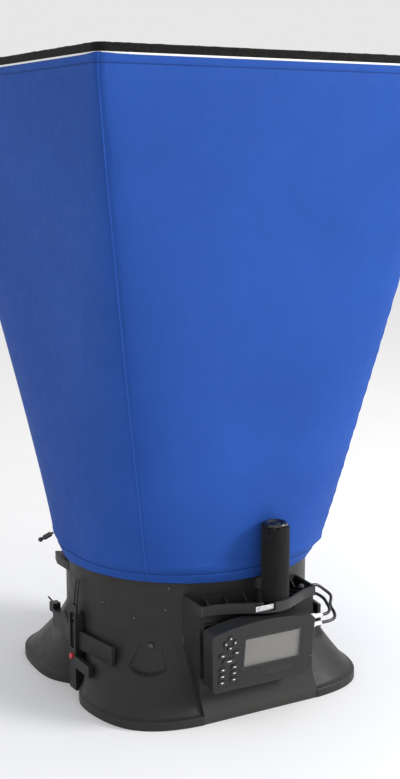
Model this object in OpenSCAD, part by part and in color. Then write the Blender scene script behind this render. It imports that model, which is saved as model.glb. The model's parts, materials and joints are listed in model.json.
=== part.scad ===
// Air-volume capture hood: a fabric hood on a square frame over a moulded base,
// with a detachable meter, grips, an averaging manifold and pressure tubes.
// Millimetres, +Z up, origin on the floor under the middle of the hood, meter towards -Y.

/* [Hood frame] */
// Outside width of the square top frame
frame_w = 610; // [570:1:700]
// Height of the frame's top lip above the floor
frame_top = 1003; // [840:1:1220]
// Thickness of the frame's top lip
lip_t = 4; // [3:0.5:5]
// Width of the frame's top lip
lip_w = 24; // [20:1:30]
// Height of a frame rail's web
web_h = 22; // [18:1:30]
// Thickness of a frame rail's web
web_t = 4; // [3:0.5:6]
// Size of a frame corner block
corner_block = 46; // [42:1:56]
// Corner radius of the frame in plan
frame_r = 14; // [8:1:20]
// Thickness of the foam gasket
foam_t = 13; // [8:1:20]

/* [Hood fabric] */
// Room between the throat and the fabric across the flats, just above the hem
waist_out = 7; // [6:0.5:14]
// Height of the waist, where the hem starts to pull in
waist_z = 244; // [238:1:256]
// Corner radius at the waist
waist_r = 165; // [120:1:190]
// How far the fabric's sides sag inwards
sag = 7; // [0:1:14]
// Fabric thickness with its seams
fabric_t = 2; // [1.5:0.5:3]
// Gap between the throat and the inside of the hem
hem_gap = 5; // [4.8:0.1:7]
// Height of the hem's lower edge
hem_z = 211; // [209:1:216]
// Radius of the hem's elastic cord
elastic_r = 2; // [1.5:0.1:2.2]

/* [Support poles] */
// Radius of a support pole
pole_r = 4; // [3:0.5:5]
// Wall of a pole socket
socket_wall = 4; // [3:0.5:6]
// Length of a pole socket
socket_len = 78; // [60:1:90]
// Distance of a pole from the throat's outside at the collar
pole_inset = 20; // [18:1:30]

/* [Throat and foot] */
// Outside radius of the throat
throat_r = 205; // [170:1:246]
// Wall of the base moulding
wall = 4; // [3:0.5:5]
// Height of the throat's top edge
throat_top = 222; // [218:1:226]
// Height at which the skirt meets the throat
flare_z = 120; // [110:1:130]
// Reach of the foot beyond the throat, side to side
foot_out_x = 38; // [34:1:60]
// Reach of the foot beyond the throat, front to back
foot_out_y = 43; // [40:1:60]
// Squareness of the foot's outline
foot_n = 4.2; // [3:0.1:6]
// Height of the foot's rim
rim_h = 14; // [10:1:20]
// Depth of the notch at each side
notch = 34; // [20:1:40]
// Distance of the parting plane in front of the middle
part_y = 12; // [0:1:20]

/* [Front housing] */
// Half width of the front housing
house_x = 106; // [104:1:112]
// Distance of its front wall from the throat
house_out = 25; // [24:0.5:30]
// Height of the tray under the front grip
tray_z = 171; // [171:1:176]
// Height of the tray's front lip
lip_z = 187; // [184:1:192]
// Height of the tray's rear edge
back_z = 190; // [189:1:200]
// Room between a grip's foam and the bulge of the tray's lip
lip_gap = 3.5; // [2:0.5:8]
// Sideways place of the bulge
bulge_x = 12; // [8:1:16]
// Thickness of a tray rib
rib_t = 2.5; // [2:0.5:4]

/* [Grips] */
// Radius of a foam grip
grip_r = 22.5; // [18:0.5:24]
// Length of a foam grip
grip_len = 122; // [90:1:140]
// Radius of a grip's core
core_r = 12; // [9:0.5:14]
// Clearance between a grip's foam and the fabric at the grip's top
grip_gap = 1.7; // [1:0.1:5]
// Sideways place of the front grip
grip_x = 24; // [18:1:28]

/* [Meter] */
// Width of the meter at its top corners
meter_w = 190; // [176:1:196]
// Width of the meter at its bottom
meter_wb = 174; // [168:1:184]
// Height of the meter at its top corners
meter_h = 98; // [94:1:100]
// Rise of the arched top edge
meter_arch = 12; // [6:1:13]
// Depth of the front case
case_d = 28; // [24:1:32]
// Wall of the meter's cases
case_wall = 3; // [2:0.5:3.5]
// Sideways place of the meter's middle
meter_x = -14; // [-16:1:0]
// Height of the meter's lower edge
meter_z = 58; // [54:1:60]
// Lean of the meter's top towards the user, in degrees
lean = 7; // [4:0.5:10]
// Width of the display's window
lcd_w = 104; // [90:1:110]
// Height of the display's window
lcd_h = 50; // [40:1:54]
// Radius of the meter's hinge pin
pin_r = 2.5; // [2:0.1:3]
// Radial clearance of the meter's knuckles on the pin
pin_gap = 0.05; // [0.03:0.01:0.1]

/* [Keys and buttons] */
// Height of a small oval key
key_h = 8; // [6:0.5:9]
// Width of a small oval key
key_w = 13; // [11:0.5:14]
// How far a key stands above the case
key_up_h = 1.6; // [1:0.1:2.5]
// Gap around a key
key_gap = 0.4; // [0.3:0.1:0.8]
// Radius of a red release button
button_r = 5; // [4:0.5:6]
// Gap around a release button
button_gap = 0.35; // [0.3:0.05:0.6]

/* [Manifold and tubes] */
// Height of the manifold's middle
manifold_z = 165; // [150:1:180]
// Radius of the manifold's hub
hub_r = 30; // [24:1:40]
// Outside radius of a manifold arm
arm_r = 4.8; // [4:0.1:6]
// Outside radius of a pressure tube
tube_r = 2.6; // [2:0.1:3]

/* [Side latches] */
// Width of a side post
post_w = 24; // [20:1:28]
// Height of a side post
post_h = 128; // [120:1:134]
// Depth of a side post outside the throat
post_d = 16; // [16:1:22]
// Thickness of a latch lever
lever_t = 4; // [3:0.5:5]

/* [Hidden] */
$fn = 64;
eps = 0.01;
gap = 0.3;              // clearance between neighbouring pieces
lug = 0.6;              // clearance between a lug and the piece beside it
frame_half = frame_w / 2;
rail_bottom = frame_top - lip_t - web_h;
web_out = frame_half - fabric_t - 0.5;
fabric_top = frame_top - lip_t - 0.5;
wrap_z = rail_bottom - 6;  // above this the fabric hangs straight over the rails
hem_r = throat_r + hem_gap;
waist_half = throat_r + waist_out;
foot_x = throat_r + foot_out_x;
foot_y = throat_r + foot_out_y;
house_y = throat_r + house_out;
grip_y = hood_half(tray_z + 14 + grip_len) + grip_gap + grip_r;
pole_in = throat_r - pole_inset;
port_x = meter_w / 2 - 3;
port_low = [-9, 73];
port_high = [-9, 87];
bulge = grip_y + grip_r + lip_gap + wall - house_y - 2;
catch_x = bulge_x - 23;  // sideways place of the meter's catch
corner_n = 1.3;         // how fast the hood's corners sharpen towards the frame
flare_n = 1.35;         // curvature of the skirt
rim_step = 6;           // step from the rim's outside to the skirt
rim_round = 2;          // height of the rim's rounded shoulder
collar_in = throat_r - wall - 4;
tube_start = house_x + 5;

// ---- lofted shells -------------------------------------------------------
// Corner-rounded square: half width a, corner radius c, at height z.
corner_steps = 10;
function round_square(a, c, z) = [
    for (q = [0:3], i = [0:corner_steps])
        let (t = 90 * q + 90 * i / corner_steps)
        let (sx = (q == 0 || q == 3) ? 1 : -1, sy = (q < 2) ? 1 : -1)
        [sx * (a - c) + c * cos(t), sy * (a - c) + c * sin(t), z]];

// Distance from the middle to the outline of such a square, in a direction.
function reach(a, c, t) =
    let (m = (a - c) * (abs(cos(t)) + abs(sin(t)))) m + sqrt(m * m - 2 * pow(a - c, 2) + c * c);

function flat_list(v) = [for (a = v) for (b = a) b];
function ring_faces(n, j, base) = [
    for (i = [0:n - 1])
        let (k = (i + 1) % n, a = base + j * n, b = a + n)
        each [[a + i, b + i, b + k], [a + i, b + k, a + k]]];
function flip(faces) = [for (f = faces) [f[2], f[1], f[0]]];
function cap_faces(n, a, b) = [
    for (i = [0:n - 1]) let (k = (i + 1) % n) each [[a + i, b + k, b + i], [a + i, a + k, b + k]]];

// Closed shell between a stack of outer rings and a stack of inner rings.
module shell(outer, inner) {
    n = len(outer[0]);
    m = len(outer);
    polyhedron(
        points = concat(flat_list(outer), flat_list(inner)),
        faces = concat(
            [for (j = [0:m - 2]) each ring_faces(n, j, 0)],
            [for (j = [0:m - 2]) each flip(ring_faces(n, j, n * m))],
            cap_faces(n, 0, n * m),
            flip(cap_faces(n, (m - 1) * n, (2 * m - 1) * n))));
}

// Wall between two matching rows of points, closed along both edges and both ends.
function wall_loop(outer, inner) = concat(outer, [for (i = [len(inner) - 1:-1:0]) inner[i]]);
function strip_cap(n, a) = [
    for (i = [0:n / 2 - 2])
        each [[a + i, a + i + 1, a + n - 2 - i], [a + i, a + n - 2 - i, a + n - 1 - i]]];
module wall_stack(loops) {
    n = len(loops[0]);
    m = len(loops);
    polyhedron(
        points = flat_list(loops),
        faces = concat(
            [for (j = [0:m - 2]) each ring_faces(n, j, 0)],
            strip_cap(n, 0),
            flip(strip_cap(n, (m - 1) * n))));
}

// ---- swept tube ----------------------------------------------------------
tube_sides = 8;
function unit(v) = v / norm(v);
function smooth_at(p, i, t) =
    let (n = len(p) - 1, a = p[max(i - 1, 0)], b = p[i], c = p[i + 1], d = p[min(i + 2, n)])
    0.5 * ((2 * b) + (c - a) * t + (2 * a - 5 * b + 4 * c - d) * t * t
        + (3 * b - a - 3 * c + d) * t * t * t);
function smooth_path(p, k) = concat(
    [for (i = [0:len(p) - 2], j = [0:k - 1]) smooth_at(p, i, j / k)], [p[len(p) - 1]]);
function tube_ring(p, i, r) =
    let (n = len(p) - 1, d = unit(p[min(i + 1, n)] - p[max(i - 1, 0)]))
    let (u = unit(cross(d, [0.15, -0.2, 1])), w = cross(d, u))
    [for (s = [0:tube_sides - 1])
        p[i] + r * (cos(360 * s / tube_sides) * u + sin(360 * s / tube_sides) * w)];
module sweep(route, r) {
    p = smooth_path(route, 3);
    m = len(p);
    polyhedron(
        points = flat_list([for (i = [0:m - 1]) tube_ring(p, i, r)]),
        faces = concat(
            [for (j = [0:m - 2]) each ring_faces(tube_sides, j, 0)],
            [[for (i = [0:tube_sides - 1]) i]],
            [[for (i = [tube_sides - 1:-1:0]) (m - 1) * tube_sides + i]]));
}

// ---- base ----------------------------------------------------------------
ring_steps = 96;
side_turn = asin(part_y / throat_r);
function turn_gap(a, b) = abs((a - b + 540) % 360 - 180);
function notch_at(t) =
    notch * (exp(-pow(turn_gap(t, 180 + side_turn) / 10, 2))
        + exp(-pow(turn_gap(t, -side_turn) / 10, 2)));
function foot_r(t) =
    pow(pow(abs(cos(t)) / foot_x, foot_n) + pow(abs(sin(t)) / foot_y, foot_n), -1 / foot_n)
    - notch_at(t);
function skirt_r(t, z) =
    z <= rim_h - rim_round ? foot_r(t)
    : z <= rim_h ? foot_r(t) - rim_round
    : z >= flare_z ? throat_r
    : let (s = (flare_z - z) / (flare_z - rim_h))
        throat_r + (foot_r(t) - rim_step - throat_r) * pow(s, flare_n);
skirt_levels = [0, rim_h - rim_round, rim_h, rim_h + 0.5, 26, 40, 56, 74, 92, 108, flare_z, throat_top];
function base_ring(z, inset) = [
    for (i = [0:ring_steps - 1])
        let (t = 360 * i / ring_steps, r = skirt_r(t, z) - inset)
        [r * cos(t), r * sin(t), z]];
module base_shell() {
    shell([for (z = skirt_levels) base_ring(z, 0)],
          [for (z = skirt_levels) base_ring(z, wall)]);
}
// Gaps left in the skirt for the side posts.
module post_gaps() {
    for (s = [-1, 1])
        translate([s * (throat_r + 0.4 + 50), -part_y, flare_z / 2])
            cube([100, post_w + 2 * gap, flare_z + 2], center = true);
}
module base_front_half() {
    color([0.16, 0.16, 0.15])
    difference() {
        base_shell();
        translate([-400, -part_y - gap / 2, -1])
            cube([800, 400, throat_top + 2]);
        difference() {
            translate([-house_x - gap, -400, -1])
                cube([2 * (house_x + gap), 400, flare_z + 2]);
            translate([0, 0, -2])
                cylinder(r = throat_r - wall - 1, h = flare_z + 4);
        }
        post_gaps();
    }
}
module base_rear_half() {
    color([0.16, 0.16, 0.15])
    difference() {
        base_shell();
        translate([-400, -400 - part_y + gap / 2, -1])
            cube([800, 400, throat_top + 2]);
        post_gaps();
    }
}
// Ring that lines the throat's top; its lip keeps the hem's elastic in place.
module hood_collar() {
    color([0.12, 0.12, 0.12])
    rotate_extrude($fn = 96)
    polygon([[collar_in, 192], [throat_r - wall - gap - 0.2, 192],
             [throat_r - wall - gap - 0.2, throat_top + 0.1], [throat_r + 1.5, throat_top + 0.1],
             [throat_r + 1.5, throat_top + 4], [throat_r - wall - gap - 0.2, throat_top + 4],
             [throat_r - wall - gap - 0.2, 246], [collar_in, 246]]);
}

// ---- front housing -------------------------------------------------------
function lip_y(x) = -house_y - 2 - bulge * exp(-pow((x - bulge_x) / 62, 2));
lip_steps = 26;
function lip_line(inset) = [
    for (i = [0:lip_steps])
        let (x = -(house_x - inset) + 2 * (house_x - inset) * i / lip_steps) [x, lip_y(x) + inset]];
module tray_outline(inset, back) {
    polygon(concat(lip_line(inset), [[house_x - inset, back], [-house_x + inset, back]]));
}
apron_top = 44;
hinge_y = -house_y + 2;
hinge_z = meter_z + 8;
pocket_half = 83;
module side_wall() {
    rotate([90, 0, 90])
        linear_extrude(wall)
            polygon([[-foot_y + 3, 0], [-foot_y + 3, rim_h], [-house_y, apron_top], [-house_y, tray_z],
                     [lip_y(house_x) + 1, tray_z], [lip_y(house_x) + 1, lip_z],
                     [-sqrt(pow(throat_r + 3.5, 2) - pow(house_x, 2)) - 1, back_z],
                     [-sqrt(pow(throat_r + 0.8, 2) - pow(house_x - wall, 2)) - 0.3, back_z],
                     [-sqrt(pow(throat_r + 0.8, 2) - pow(house_x - wall, 2)) - 1, flare_z - 20],
                     [-foot_y + 60, 0]]);
}
module front_housing() {
    color([0.15, 0.15, 0.14])
    difference() {
        union() {
            // side walls
            translate([-house_x, 0, 0]) side_wall();
            translate([house_x - wall, 0, 0]) side_wall();
            // front wall with the meter's pocket
            difference() {
                translate([-house_x + 1, -house_y, apron_top - 2])
                    cube([2 * house_x - 2, wall, tray_z - apron_top + 3]);
                translate([meter_x - pocket_half, -house_y - 1, hinge_z - 6])
                    cube([2 * pocket_half, wall + 2, 98]);
            }
            // apron down to the rim
            rotate([90, 0, 90])
                translate([0, 0, -house_x + 1])
                    linear_extrude(2 * house_x - 2)
                        polygon([[-foot_y + 3, 0], [-foot_y + 3, rim_h], [-house_y, apron_top],
                                 [-house_y + wall, apron_top], [-house_y + wall, apron_top - 2],
                                 [-foot_y + 3 + wall, rim_h - 2], [-foot_y + 3 + wall, 0]]);
            // tray floor, its bulged lip and the rear edge
            translate([0, 0, tray_z])
                linear_extrude(3)
                    tray_outline(0, -house_y + wall);
            translate([0, 0, tray_z])
                linear_extrude(lip_z - tray_z)
                    difference() {
                        tray_outline(0, -house_y + wall);
                        tray_outline(wall, 0);
                    }
            intersection() {
                translate([0, 0, apron_top])
                    difference() {
                        cylinder(r = throat_r + 4, h = back_z - apron_top, $fn = 96);
                        translate([0, 0, -1])
                            cylinder(r = throat_r + 0.8, h = back_z, $fn = 96);
                    }
                translate([-house_x + 1, -throat_r - 20, 0])
                    cube([2 * house_x - 2, 100, back_z + 10]);
            }
            // deep tray floor behind the front wall
            intersection() {
                translate([-house_x + 1, -house_y + 1, 153])
                    cube([2 * house_x - 2, 70, 3]);
                difference() {
                    translate([-house_x, -house_y, 150]) cube([2 * house_x, 100, 8]);
                    translate([0, 0, 149]) cylinder(r = throat_r + 2, h = 10, $fn = 96);
                }
            }
            tray_ribs();
            // hinge bosses
            for (s = [-1, 1])
                translate([meter_x + s * (pocket_half + 4.5) - 5, hinge_y, hinge_z])
                    rotate([0, 90, 0])
                        cylinder(r = 6, h = 10);
        }
        translate([-house_x - 1, hinge_y, hinge_z])
            rotate([0, 90, 0])
                cylinder(r = pin_r + 0.03, h = 2 * house_x + 2);
        // seats of the tube bulkheads and of the catch
        for (b = bulkheads)
            translate([house_x - wall - 1, b[0], b[1]])
                rotate([0, 90, 0])
                    cylinder(r = 4, h = wall + 2);
        translate([catch_x - catch_w / 2 - 0.4, lip_y(bulge_x) - 6, tray_z + 4])
            cube([catch_w + 0.8, 15, lip_z - tray_z]);
    }
}
rib_places = [-78, -48, -16, 56, 72, 88];
module tray_ribs() {
    for (x = rib_places)
        translate([x, 0, 0])
            rotate([90, 0, 90])
                linear_extrude(rib_t)
                    polygon([[lip_y(x) + 3, tray_z + 1], [lip_y(x) + 3, lip_z - 1],
                             [-sqrt(pow(throat_r + 3, 2) - x * x) - 14, back_z - 12],
                             [-sqrt(pow(throat_r + 3, 2) - x * x), back_z - 2],
                             [-sqrt(pow(throat_r + 3, 2) - x * x), 154],
                             [-house_y + 1, 154], [-house_y + 1, tray_z + 1]]);
}
// Bracket behind the throat that carries the rear grip.
module rear_housing() {
    color([0.15, 0.15, 0.14])
    union() {
        intersection() {
            difference() {
                translate([0, 0, flare_z + 4])
                    cylinder(r = throat_r + 4, h = 70, $fn = 96);
                translate([0, 0, flare_z])
                    cylinder(r = throat_r + 0.8, h = 80, $fn = 96);
            }
            translate([-45, 100, 0])
                cube([90, 150, 260]);
        }
        difference() {
            translate([-38, throat_r - 6, tray_z])
                cube([76, grip_y + 26 - throat_r + 6, 3]);
            translate([0, 0, tray_z - 1])
                cylinder(r = throat_r + 2, h = 6, $fn = 96);
        }
        for (x = [-38, 35])
            translate([x, 0, 0])
                rotate([90, 0, 90])
                    linear_extrude(3)
                        polygon([[throat_r, flare_z + 6], [throat_r, tray_z + 1], [grip_y + 26, tray_z + 1],
                                 [grip_y + 26, tray_z - 8]]);
    }
}

// ---- poles and their sockets ---------------------------------------------
pole_top_z = rail_bottom + 12;
pole_top_in = (frame_half - 24) * sqrt(2);
collar_top = 246;
pole_slope = (pole_top_in - pole_in) / (pole_top_z - collar_top);
socket_z = 112;
socket_in = pole_in - pole_slope * (collar_top - socket_z);
pole_tilt = atan(pole_slope);
module at_poles() {
    for (q = [0:3])
        rotate([0, 0, 45 + 90 * q])
            translate([socket_in, 0, socket_z])
                rotate([0, pole_tilt, 0])
                    children();
}
module pole_sockets() {
    color([0.14, 0.14, 0.14])
    for (q = [0:3])
        rotate([0, 0, 45 + 90 * q])
            difference() {
                union() {
                    translate([socket_in, 0, socket_z])
                        rotate([0, pole_tilt, 0])
                            cylinder(r = pole_r + socket_wall, h = socket_len);
                    translate([socket_in + 2, -2, socket_z + 14])
                        cube([throat_r - wall - 0.6 - socket_in - 2, 4, socket_len - 30]);
                }
                translate([socket_in, 0, socket_z])
                    rotate([0, pole_tilt, 0])
                        translate([0, 0, 4])
                            cylinder(r = pole_r + gap, h = socket_len + 40);
            }
}
pole_len = (pole_top_z - socket_z) / cos(pole_tilt) - 5;
module support_poles() {
    color([0.75, 0.75, 0.7])
    at_poles()
        translate([0, 0, 4.3])
            cylinder(r = pole_r, h = pole_len);
}
module pole_ferrules() {
    color([0.5, 0.5, 0.5])
    at_poles()
        translate([0, 0, 4.3 + pole_len - 40])
            difference() {
                cylinder(r = pole_r + 1.2, h = 36);
                translate([0, 0, -1])
                    cylinder(r = pole_r + 0.05, h = 38);
            }
}

// ---- hood ----------------------------------------------------------------
function hood_t(z) = min(1, max(0, (z - waist_z) / (wrap_z - waist_z)));
function hood_half(z) =
    waist_half + (frame_half - waist_half) * hood_t(z) - sag * 4 * hood_t(z) * (1 - hood_t(z));
function hood_corner(z) = frame_r + (waist_r - frame_r) * pow(1 - hood_t(z), corner_n);
hem_levels = [
    [hem_r + fabric_t, hem_r + fabric_t - 1, hem_z],
    [hem_r + fabric_t + 0.3, hem_r + fabric_t - 6, hem_z + 9],
    [waist_half + 0.6, waist_r + 12, hem_z + 20]];
hood_levels = concat([for (i = [0:8]) waist_z + (wrap_z - waist_z) * pow(i / 8, 1.25)], [fabric_top]);
hood_stack = concat(hem_levels, [for (z = hood_levels) [hood_half(z), hood_corner(z), z]]);
// Four sewn panels, each from the seam in the middle of one corner to the seam of the next.
function panel_row(l, inset, q) =
    let (ring = round_square(l[0] - inset, l[1] - inset, l[2]), n = len(ring))
    [for (i = [0:corner_steps + 1]) ring[(q * (corner_steps + 1) + corner_steps / 2 + i) % n]];
module hood_panel(q) {
    color([0.16, 0.32, 0.72])
    wall_stack([for (l = hood_stack) wall_loop(panel_row(l, 0, q), panel_row(l, fabric_t, q))]);
}
module hood_elastic() {
    color([0.1, 0.1, 0.1])
    rotate_extrude($fn = 96)
        translate([throat_r + elastic_r + 0.5, hem_z + 5])
            circle(r = elastic_r, $fn = 24);
}
module rail() {
    rotate([90, 0, 90])
        linear_extrude(frame_w - 2 * corner_block - 2 * gap)
            polygon([[-frame_half, frame_top - lip_t], [-frame_half, frame_top],
                     [-frame_half + lip_w, frame_top], [-frame_half + lip_w, frame_top - lip_t],
                     [-web_out + web_t, frame_top - lip_t], [-web_out + web_t, rail_bottom],
                     [-web_out, rail_bottom], [-web_out, frame_top - lip_t]]);
}
module frame_rails() {
    color([0.85, 0.86, 0.86])
    for (q = [0:3])
        rotate([0, 0, 90 * q])
            translate([-frame_half + corner_block + gap, 0, 0])
                rail();
}
module rounded_block(half, r, h) {
    linear_extrude(h)
        union() {
            square([2 * half, 2 * (half - r)], center = true);
            square([2 * (half - r), 2 * half], center = true);
            for (x = [-1, 1], y = [-1, 1])
                translate([x * (half - r), y * (half - r)])
                    circle(r = r);
        }
}
module frame_corners() {
    color([0.82, 0.83, 0.83])
    difference() {
        union() {
            translate([0, 0, frame_top - lip_t])
                rounded_block(frame_half, frame_r, lip_t);
            translate([0, 0, rail_bottom])
                rounded_block(web_out, frame_r - 2.5, web_h + eps);
        }
        translate([0, 0, frame_top / 2])
            cube([frame_w - 2 * corner_block, frame_w + 2, frame_top + 20], center = true);
        translate([0, 0, frame_top / 2])
            cube([frame_w + 2, frame_w - 2 * corner_block, frame_top + 20], center = true);
        at_poles()
            cylinder(r = pole_r + 1.2 + gap, h = pole_len + 6);
    }
}
module foam_gasket() {
    color([0.22, 0.21, 0.2])
    translate([0, 0, frame_top])
        difference() {
            rounded_block(frame_half, frame_r + 6, foam_t);
            translate([0, 0, -1])
                rounded_block(frame_half - lip_w, 6, foam_t + 2);
        }
}
// Toggle on the hem's drawcord, at the left behind the corner.
module cord_lock() {
    turn = 147;
    r = reach(waist_half + 0.6, waist_r + 12, turn) + fabric_t - 1;
    color([0.07, 0.07, 0.07])
    translate([r * cos(turn), r * sin(turn), hem_z + 18])
        rotate([0, 0, turn + 10])
            rotate([0, 118, 0])
                union() {
                    translate([0, 0, 2]) cylinder(r = 2, h = 8);
                    translate([0, 0, 6]) cylinder(r = 4.5, h = 15);
                    translate([0, 0, 20]) cylinder(r = 2.8, h = 5);
                    translate([0, 0, 27]) sphere(r = 4.2);
                }
}
// Hooks under the hem that hold the hood's straps.
module hood_clips() {
    color([0.1, 0.1, 0.1])
    for (s = [0, 1])
        mirror([s, 0, 0])
            translate([0, 0, 183])
                linear_extrude(15)
                    polygon([(throat_r + 0.6) * [cos(168), sin(168)], (throat_r + 0.6) * [cos(162), sin(162)],
                             (throat_r + 0.6) * [cos(155), sin(155)], (throat_r + 1) * [cos(149), sin(149)],
                             (throat_r + 20) * [cos(149), sin(149)], (throat_r + 15) * [cos(156), sin(156)],
                             (throat_r + 5) * [cos(163), sin(163)]]);
}

// ---- manifold ------------------------------------------------------------
module manifold_hub() {
    color([0.2, 0.2, 0.2])
    translate([0, 0, manifold_z - 12])
        cylinder(r = hub_r, h = 24);
}
module manifold_arms() {
    color([0.7, 0.7, 0.68])
    for (i = [0:7])
        rotate([0, 0, 22.5 + 45 * i])
            translate([hub_r + 0.1, 0, manifold_z])
                rotate([0, 90, 0])
                    difference() {
                        cylinder(r = arm_r, h = throat_r - wall - 4 - hub_r);
                        translate([0, 0, -1])
                            cylinder(r = arm_r - 1.2, h = throat_r - wall - 6 - hub_r);
                    }
}

// ---- pressure tubes ------------------------------------------------------
bulkheads = [[-house_y + 24, tray_z + 6], [-house_y + 26, tray_z - 8]];
// A tube's points are offsets from its bulkhead's end, then from its connector's end on the meter.
function spot(p) = [meter_x + p[0], -house_y - 4 + p[1] * cos(lean) - p[2] * sin(lean),
                    meter_z + p[1] * sin(lean) + p[2] * cos(lean)];
function route(b, from, port, to) =
    let (a = [tube_start, b[0], b[1]], e = spot([port_x + 29.4, port[0], port[1]]))
    concat([for (d = from) a + d], [for (d = to) e + d]);
high_from = [[0.3, 0, 0], [7, 0, 0], [20, 0, -2], [31, -4, -10], [39, -12, -20]];
high_to = [[36, 25, 16], [36, 14, 6], [30, 5, 1.5], [20, 1, 0.1], [10, 0, 0], [0, 0, 0]];
low_from = [[0.3, 0, 0], [7, 0, 0], [15, -2, -1], [21, -8, -4], [24, -16, -8]];
low_to = [[26, 23, 8], [24, 13, 3], [17, 5, 0.5], [9, 1, 0], [0, 0, 0]];
high_route = route(bulkheads[0], high_from, port_low, high_to);
low_route = route(bulkheads[1], low_from, port_high, low_to);
module high_tube() { color([0.08, 0.08, 0.08]) sweep(high_route, tube_r); }
module low_tube() { color([0.08, 0.08, 0.08]) sweep(low_route, tube_r); }
module tube_bulkheads() {
    color([0.5, 0.5, 0.5])
    for (b = bulkheads)
        translate([house_x - wall - 4, b[0], b[1]])
            rotate([0, 90, 0])
                union() {
                    cylinder(r = 3.9, h = wall + 4.2);
                    cylinder(r = 5.2, h = 3.8);
                    cylinder(r = 2, h = wall + 9);
                }
}
module tube_connectors() {
    color([0.9, 0.9, 0.9])
    for (p = [port_low, port_high])
        in_meter()
            translate([port_x + 5, p[0], p[1]])
                rotate([0, 90, 0])
                    difference() {
                        union() {
                            cylinder(r = 5, h = 10);
                            cylinder(r = 3.6, h = 24);
                        }
                        translate([0, 0, -1])
                            cylinder(r = 2.05, h = 9);
                    }
}
module pressure_ports() {
    color([0.75, 0.75, 0.75])
    for (p = [port_low, port_high])
        in_meter()
            translate([port_x - 4, p[0], p[1]])
                rotate([0, 90, 0])
                    union() {
                        cylinder(r = 2, h = 15);
                        cylinder(r = 4.2, h = 8);
                    }
}

// ---- grips ---------------------------------------------------------------
module grip_core() {
    translate([0, 0, tray_z + 3.1])
        cylinder(r = core_r, h = grip_len + 6);
    translate([0, 0, tray_z + 3.1])
        cylinder(r = core_r + 4, h = 4);
}
module grip_foam() {
    translate([0, 0, tray_z + 8])
        difference() {
            cylinder(r = grip_r, h = grip_len);
            translate([0, 0, -1])
                cylinder(r = core_r + 0.1, h = grip_len + 2);
        }
}
module grip_cap() {
    translate([0, 0, tray_z + 8 + grip_len + 0.1])
        difference() {
            cylinder(r = grip_r - 3, h = 6);
            translate([0, 0, -1])
                cylinder(r = core_r + 0.1, h = 2.1);
        }
}
module front_grip_core() { color([0.1, 0.1, 0.1]) translate([grip_x, -grip_y, 0]) grip_core(); }
module front_grip_foam() { color([0.08, 0.08, 0.08]) translate([grip_x, -grip_y, 0]) grip_foam(); }
module front_grip_cap() { color([0.05, 0.05, 0.05]) translate([grip_x, -grip_y, 0]) grip_cap(); }
module rear_grip_core() { color([0.1, 0.1, 0.1]) translate([0, grip_y, 0]) grip_core(); }
module rear_grip_foam() { color([0.08, 0.08, 0.08]) translate([0, grip_y, 0]) grip_foam(); }
module rear_grip_cap() { color([0.05, 0.05, 0.05]) translate([0, grip_y, 0]) grip_cap(); }

// ---- meter ---------------------------------------------------------------
// Local frame: X across, Z up from the lower edge, Y = 0 at the back plane, face at -case_d.
module in_meter() {
    translate([meter_x, -house_y - 4, meter_z])
        rotate([lean, 0, 0])
            children();
}
arch_r = (pow(meter_w / 2, 2) + pow(meter_arch, 2)) / (2 * meter_arch);
arch_half = asin(meter_w / 2 / arch_r);
module meter_outline(inset) {
    k = (meter_w - 2 * inset) / meter_w;
    polygon(concat(
        [[-meter_wb / 2 * k + 5, inset], [meter_wb / 2 * k - 5, inset], [meter_wb / 2 * k, inset + 5]],
        [[meter_w / 2 * k, meter_h - inset - 4]],
        [for (i = [-8:8]) let (a = -arch_half * 0.95 * i / 8)
            [k * arch_r * sin(a), meter_h + meter_arch - inset - arch_r * (1 - cos(a))]],
        [[-meter_w / 2 * k, meter_h - inset - 4], [-meter_wb / 2 * k, inset + 5]]));
}
module face_prism(inset, y0, y1) {
    translate([0, y1, 0])
        rotate([90, 0, 0])
            linear_extrude(y1 - y0)
                meter_outline(inset);
}
lcd_x = 17;
lcd_z = 59;
label_x = 34;
label_z = 18;
module oval(w, h) {
    union() {
        square([w - h, h], center = true);
        for (s = [-1, 1])
            translate([s * (w - h) / 2, 0])
                circle(d = h, $fn = 32);
    }
}
// Keys: name index, place across, place up, width, height and turn.
pad_x = -62;
pad_z = 82;
pad_r = 8.2;
col = 10.5;
keys = [
    [0, pad_r, 10, 7, 0], [pad_r, 0, 7, 10, 0], [0, -pad_r, 10, 7, 0], [-pad_r, 0, 7, 10, 0],
    [-col - 2, -19, key_w, key_h, 0], [col + 2, -18, key_w, key_h, 0], [0, -30, 24, 9.5, 0],
    [-col, -43, key_w, key_h, 0], [col, -41.5, key_w, key_h, 0],
    [-col, -54, key_w, key_h, 0], [col, -52, key_w, key_h, 0],
    [-col, -65, key_w, key_h, 0], [col, -63, key_w, key_h, 0]];
module key_shape(k, grow) {
    if (k[2] >= k[3])
        oval(k[2] + 2 * grow, k[3] + 2 * grow);
    else
        rotate(90)
            oval(k[3] + 2 * grow, k[2] + 2 * grow);
}
module key(i) {
    k = keys[i];
    color([0.05, 0.05, 0.05])
    in_meter()
        translate([pad_x + k[0], -case_d + case_wall + 2, pad_z + k[1]])
            rotate([90, 0, 0])
                union() {
                    linear_extrude(case_wall + 2 + key_up_h)
                        key_shape(k, 0);
                    linear_extrude(1)
                        key_shape(k, 0.9);
                }
}
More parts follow.
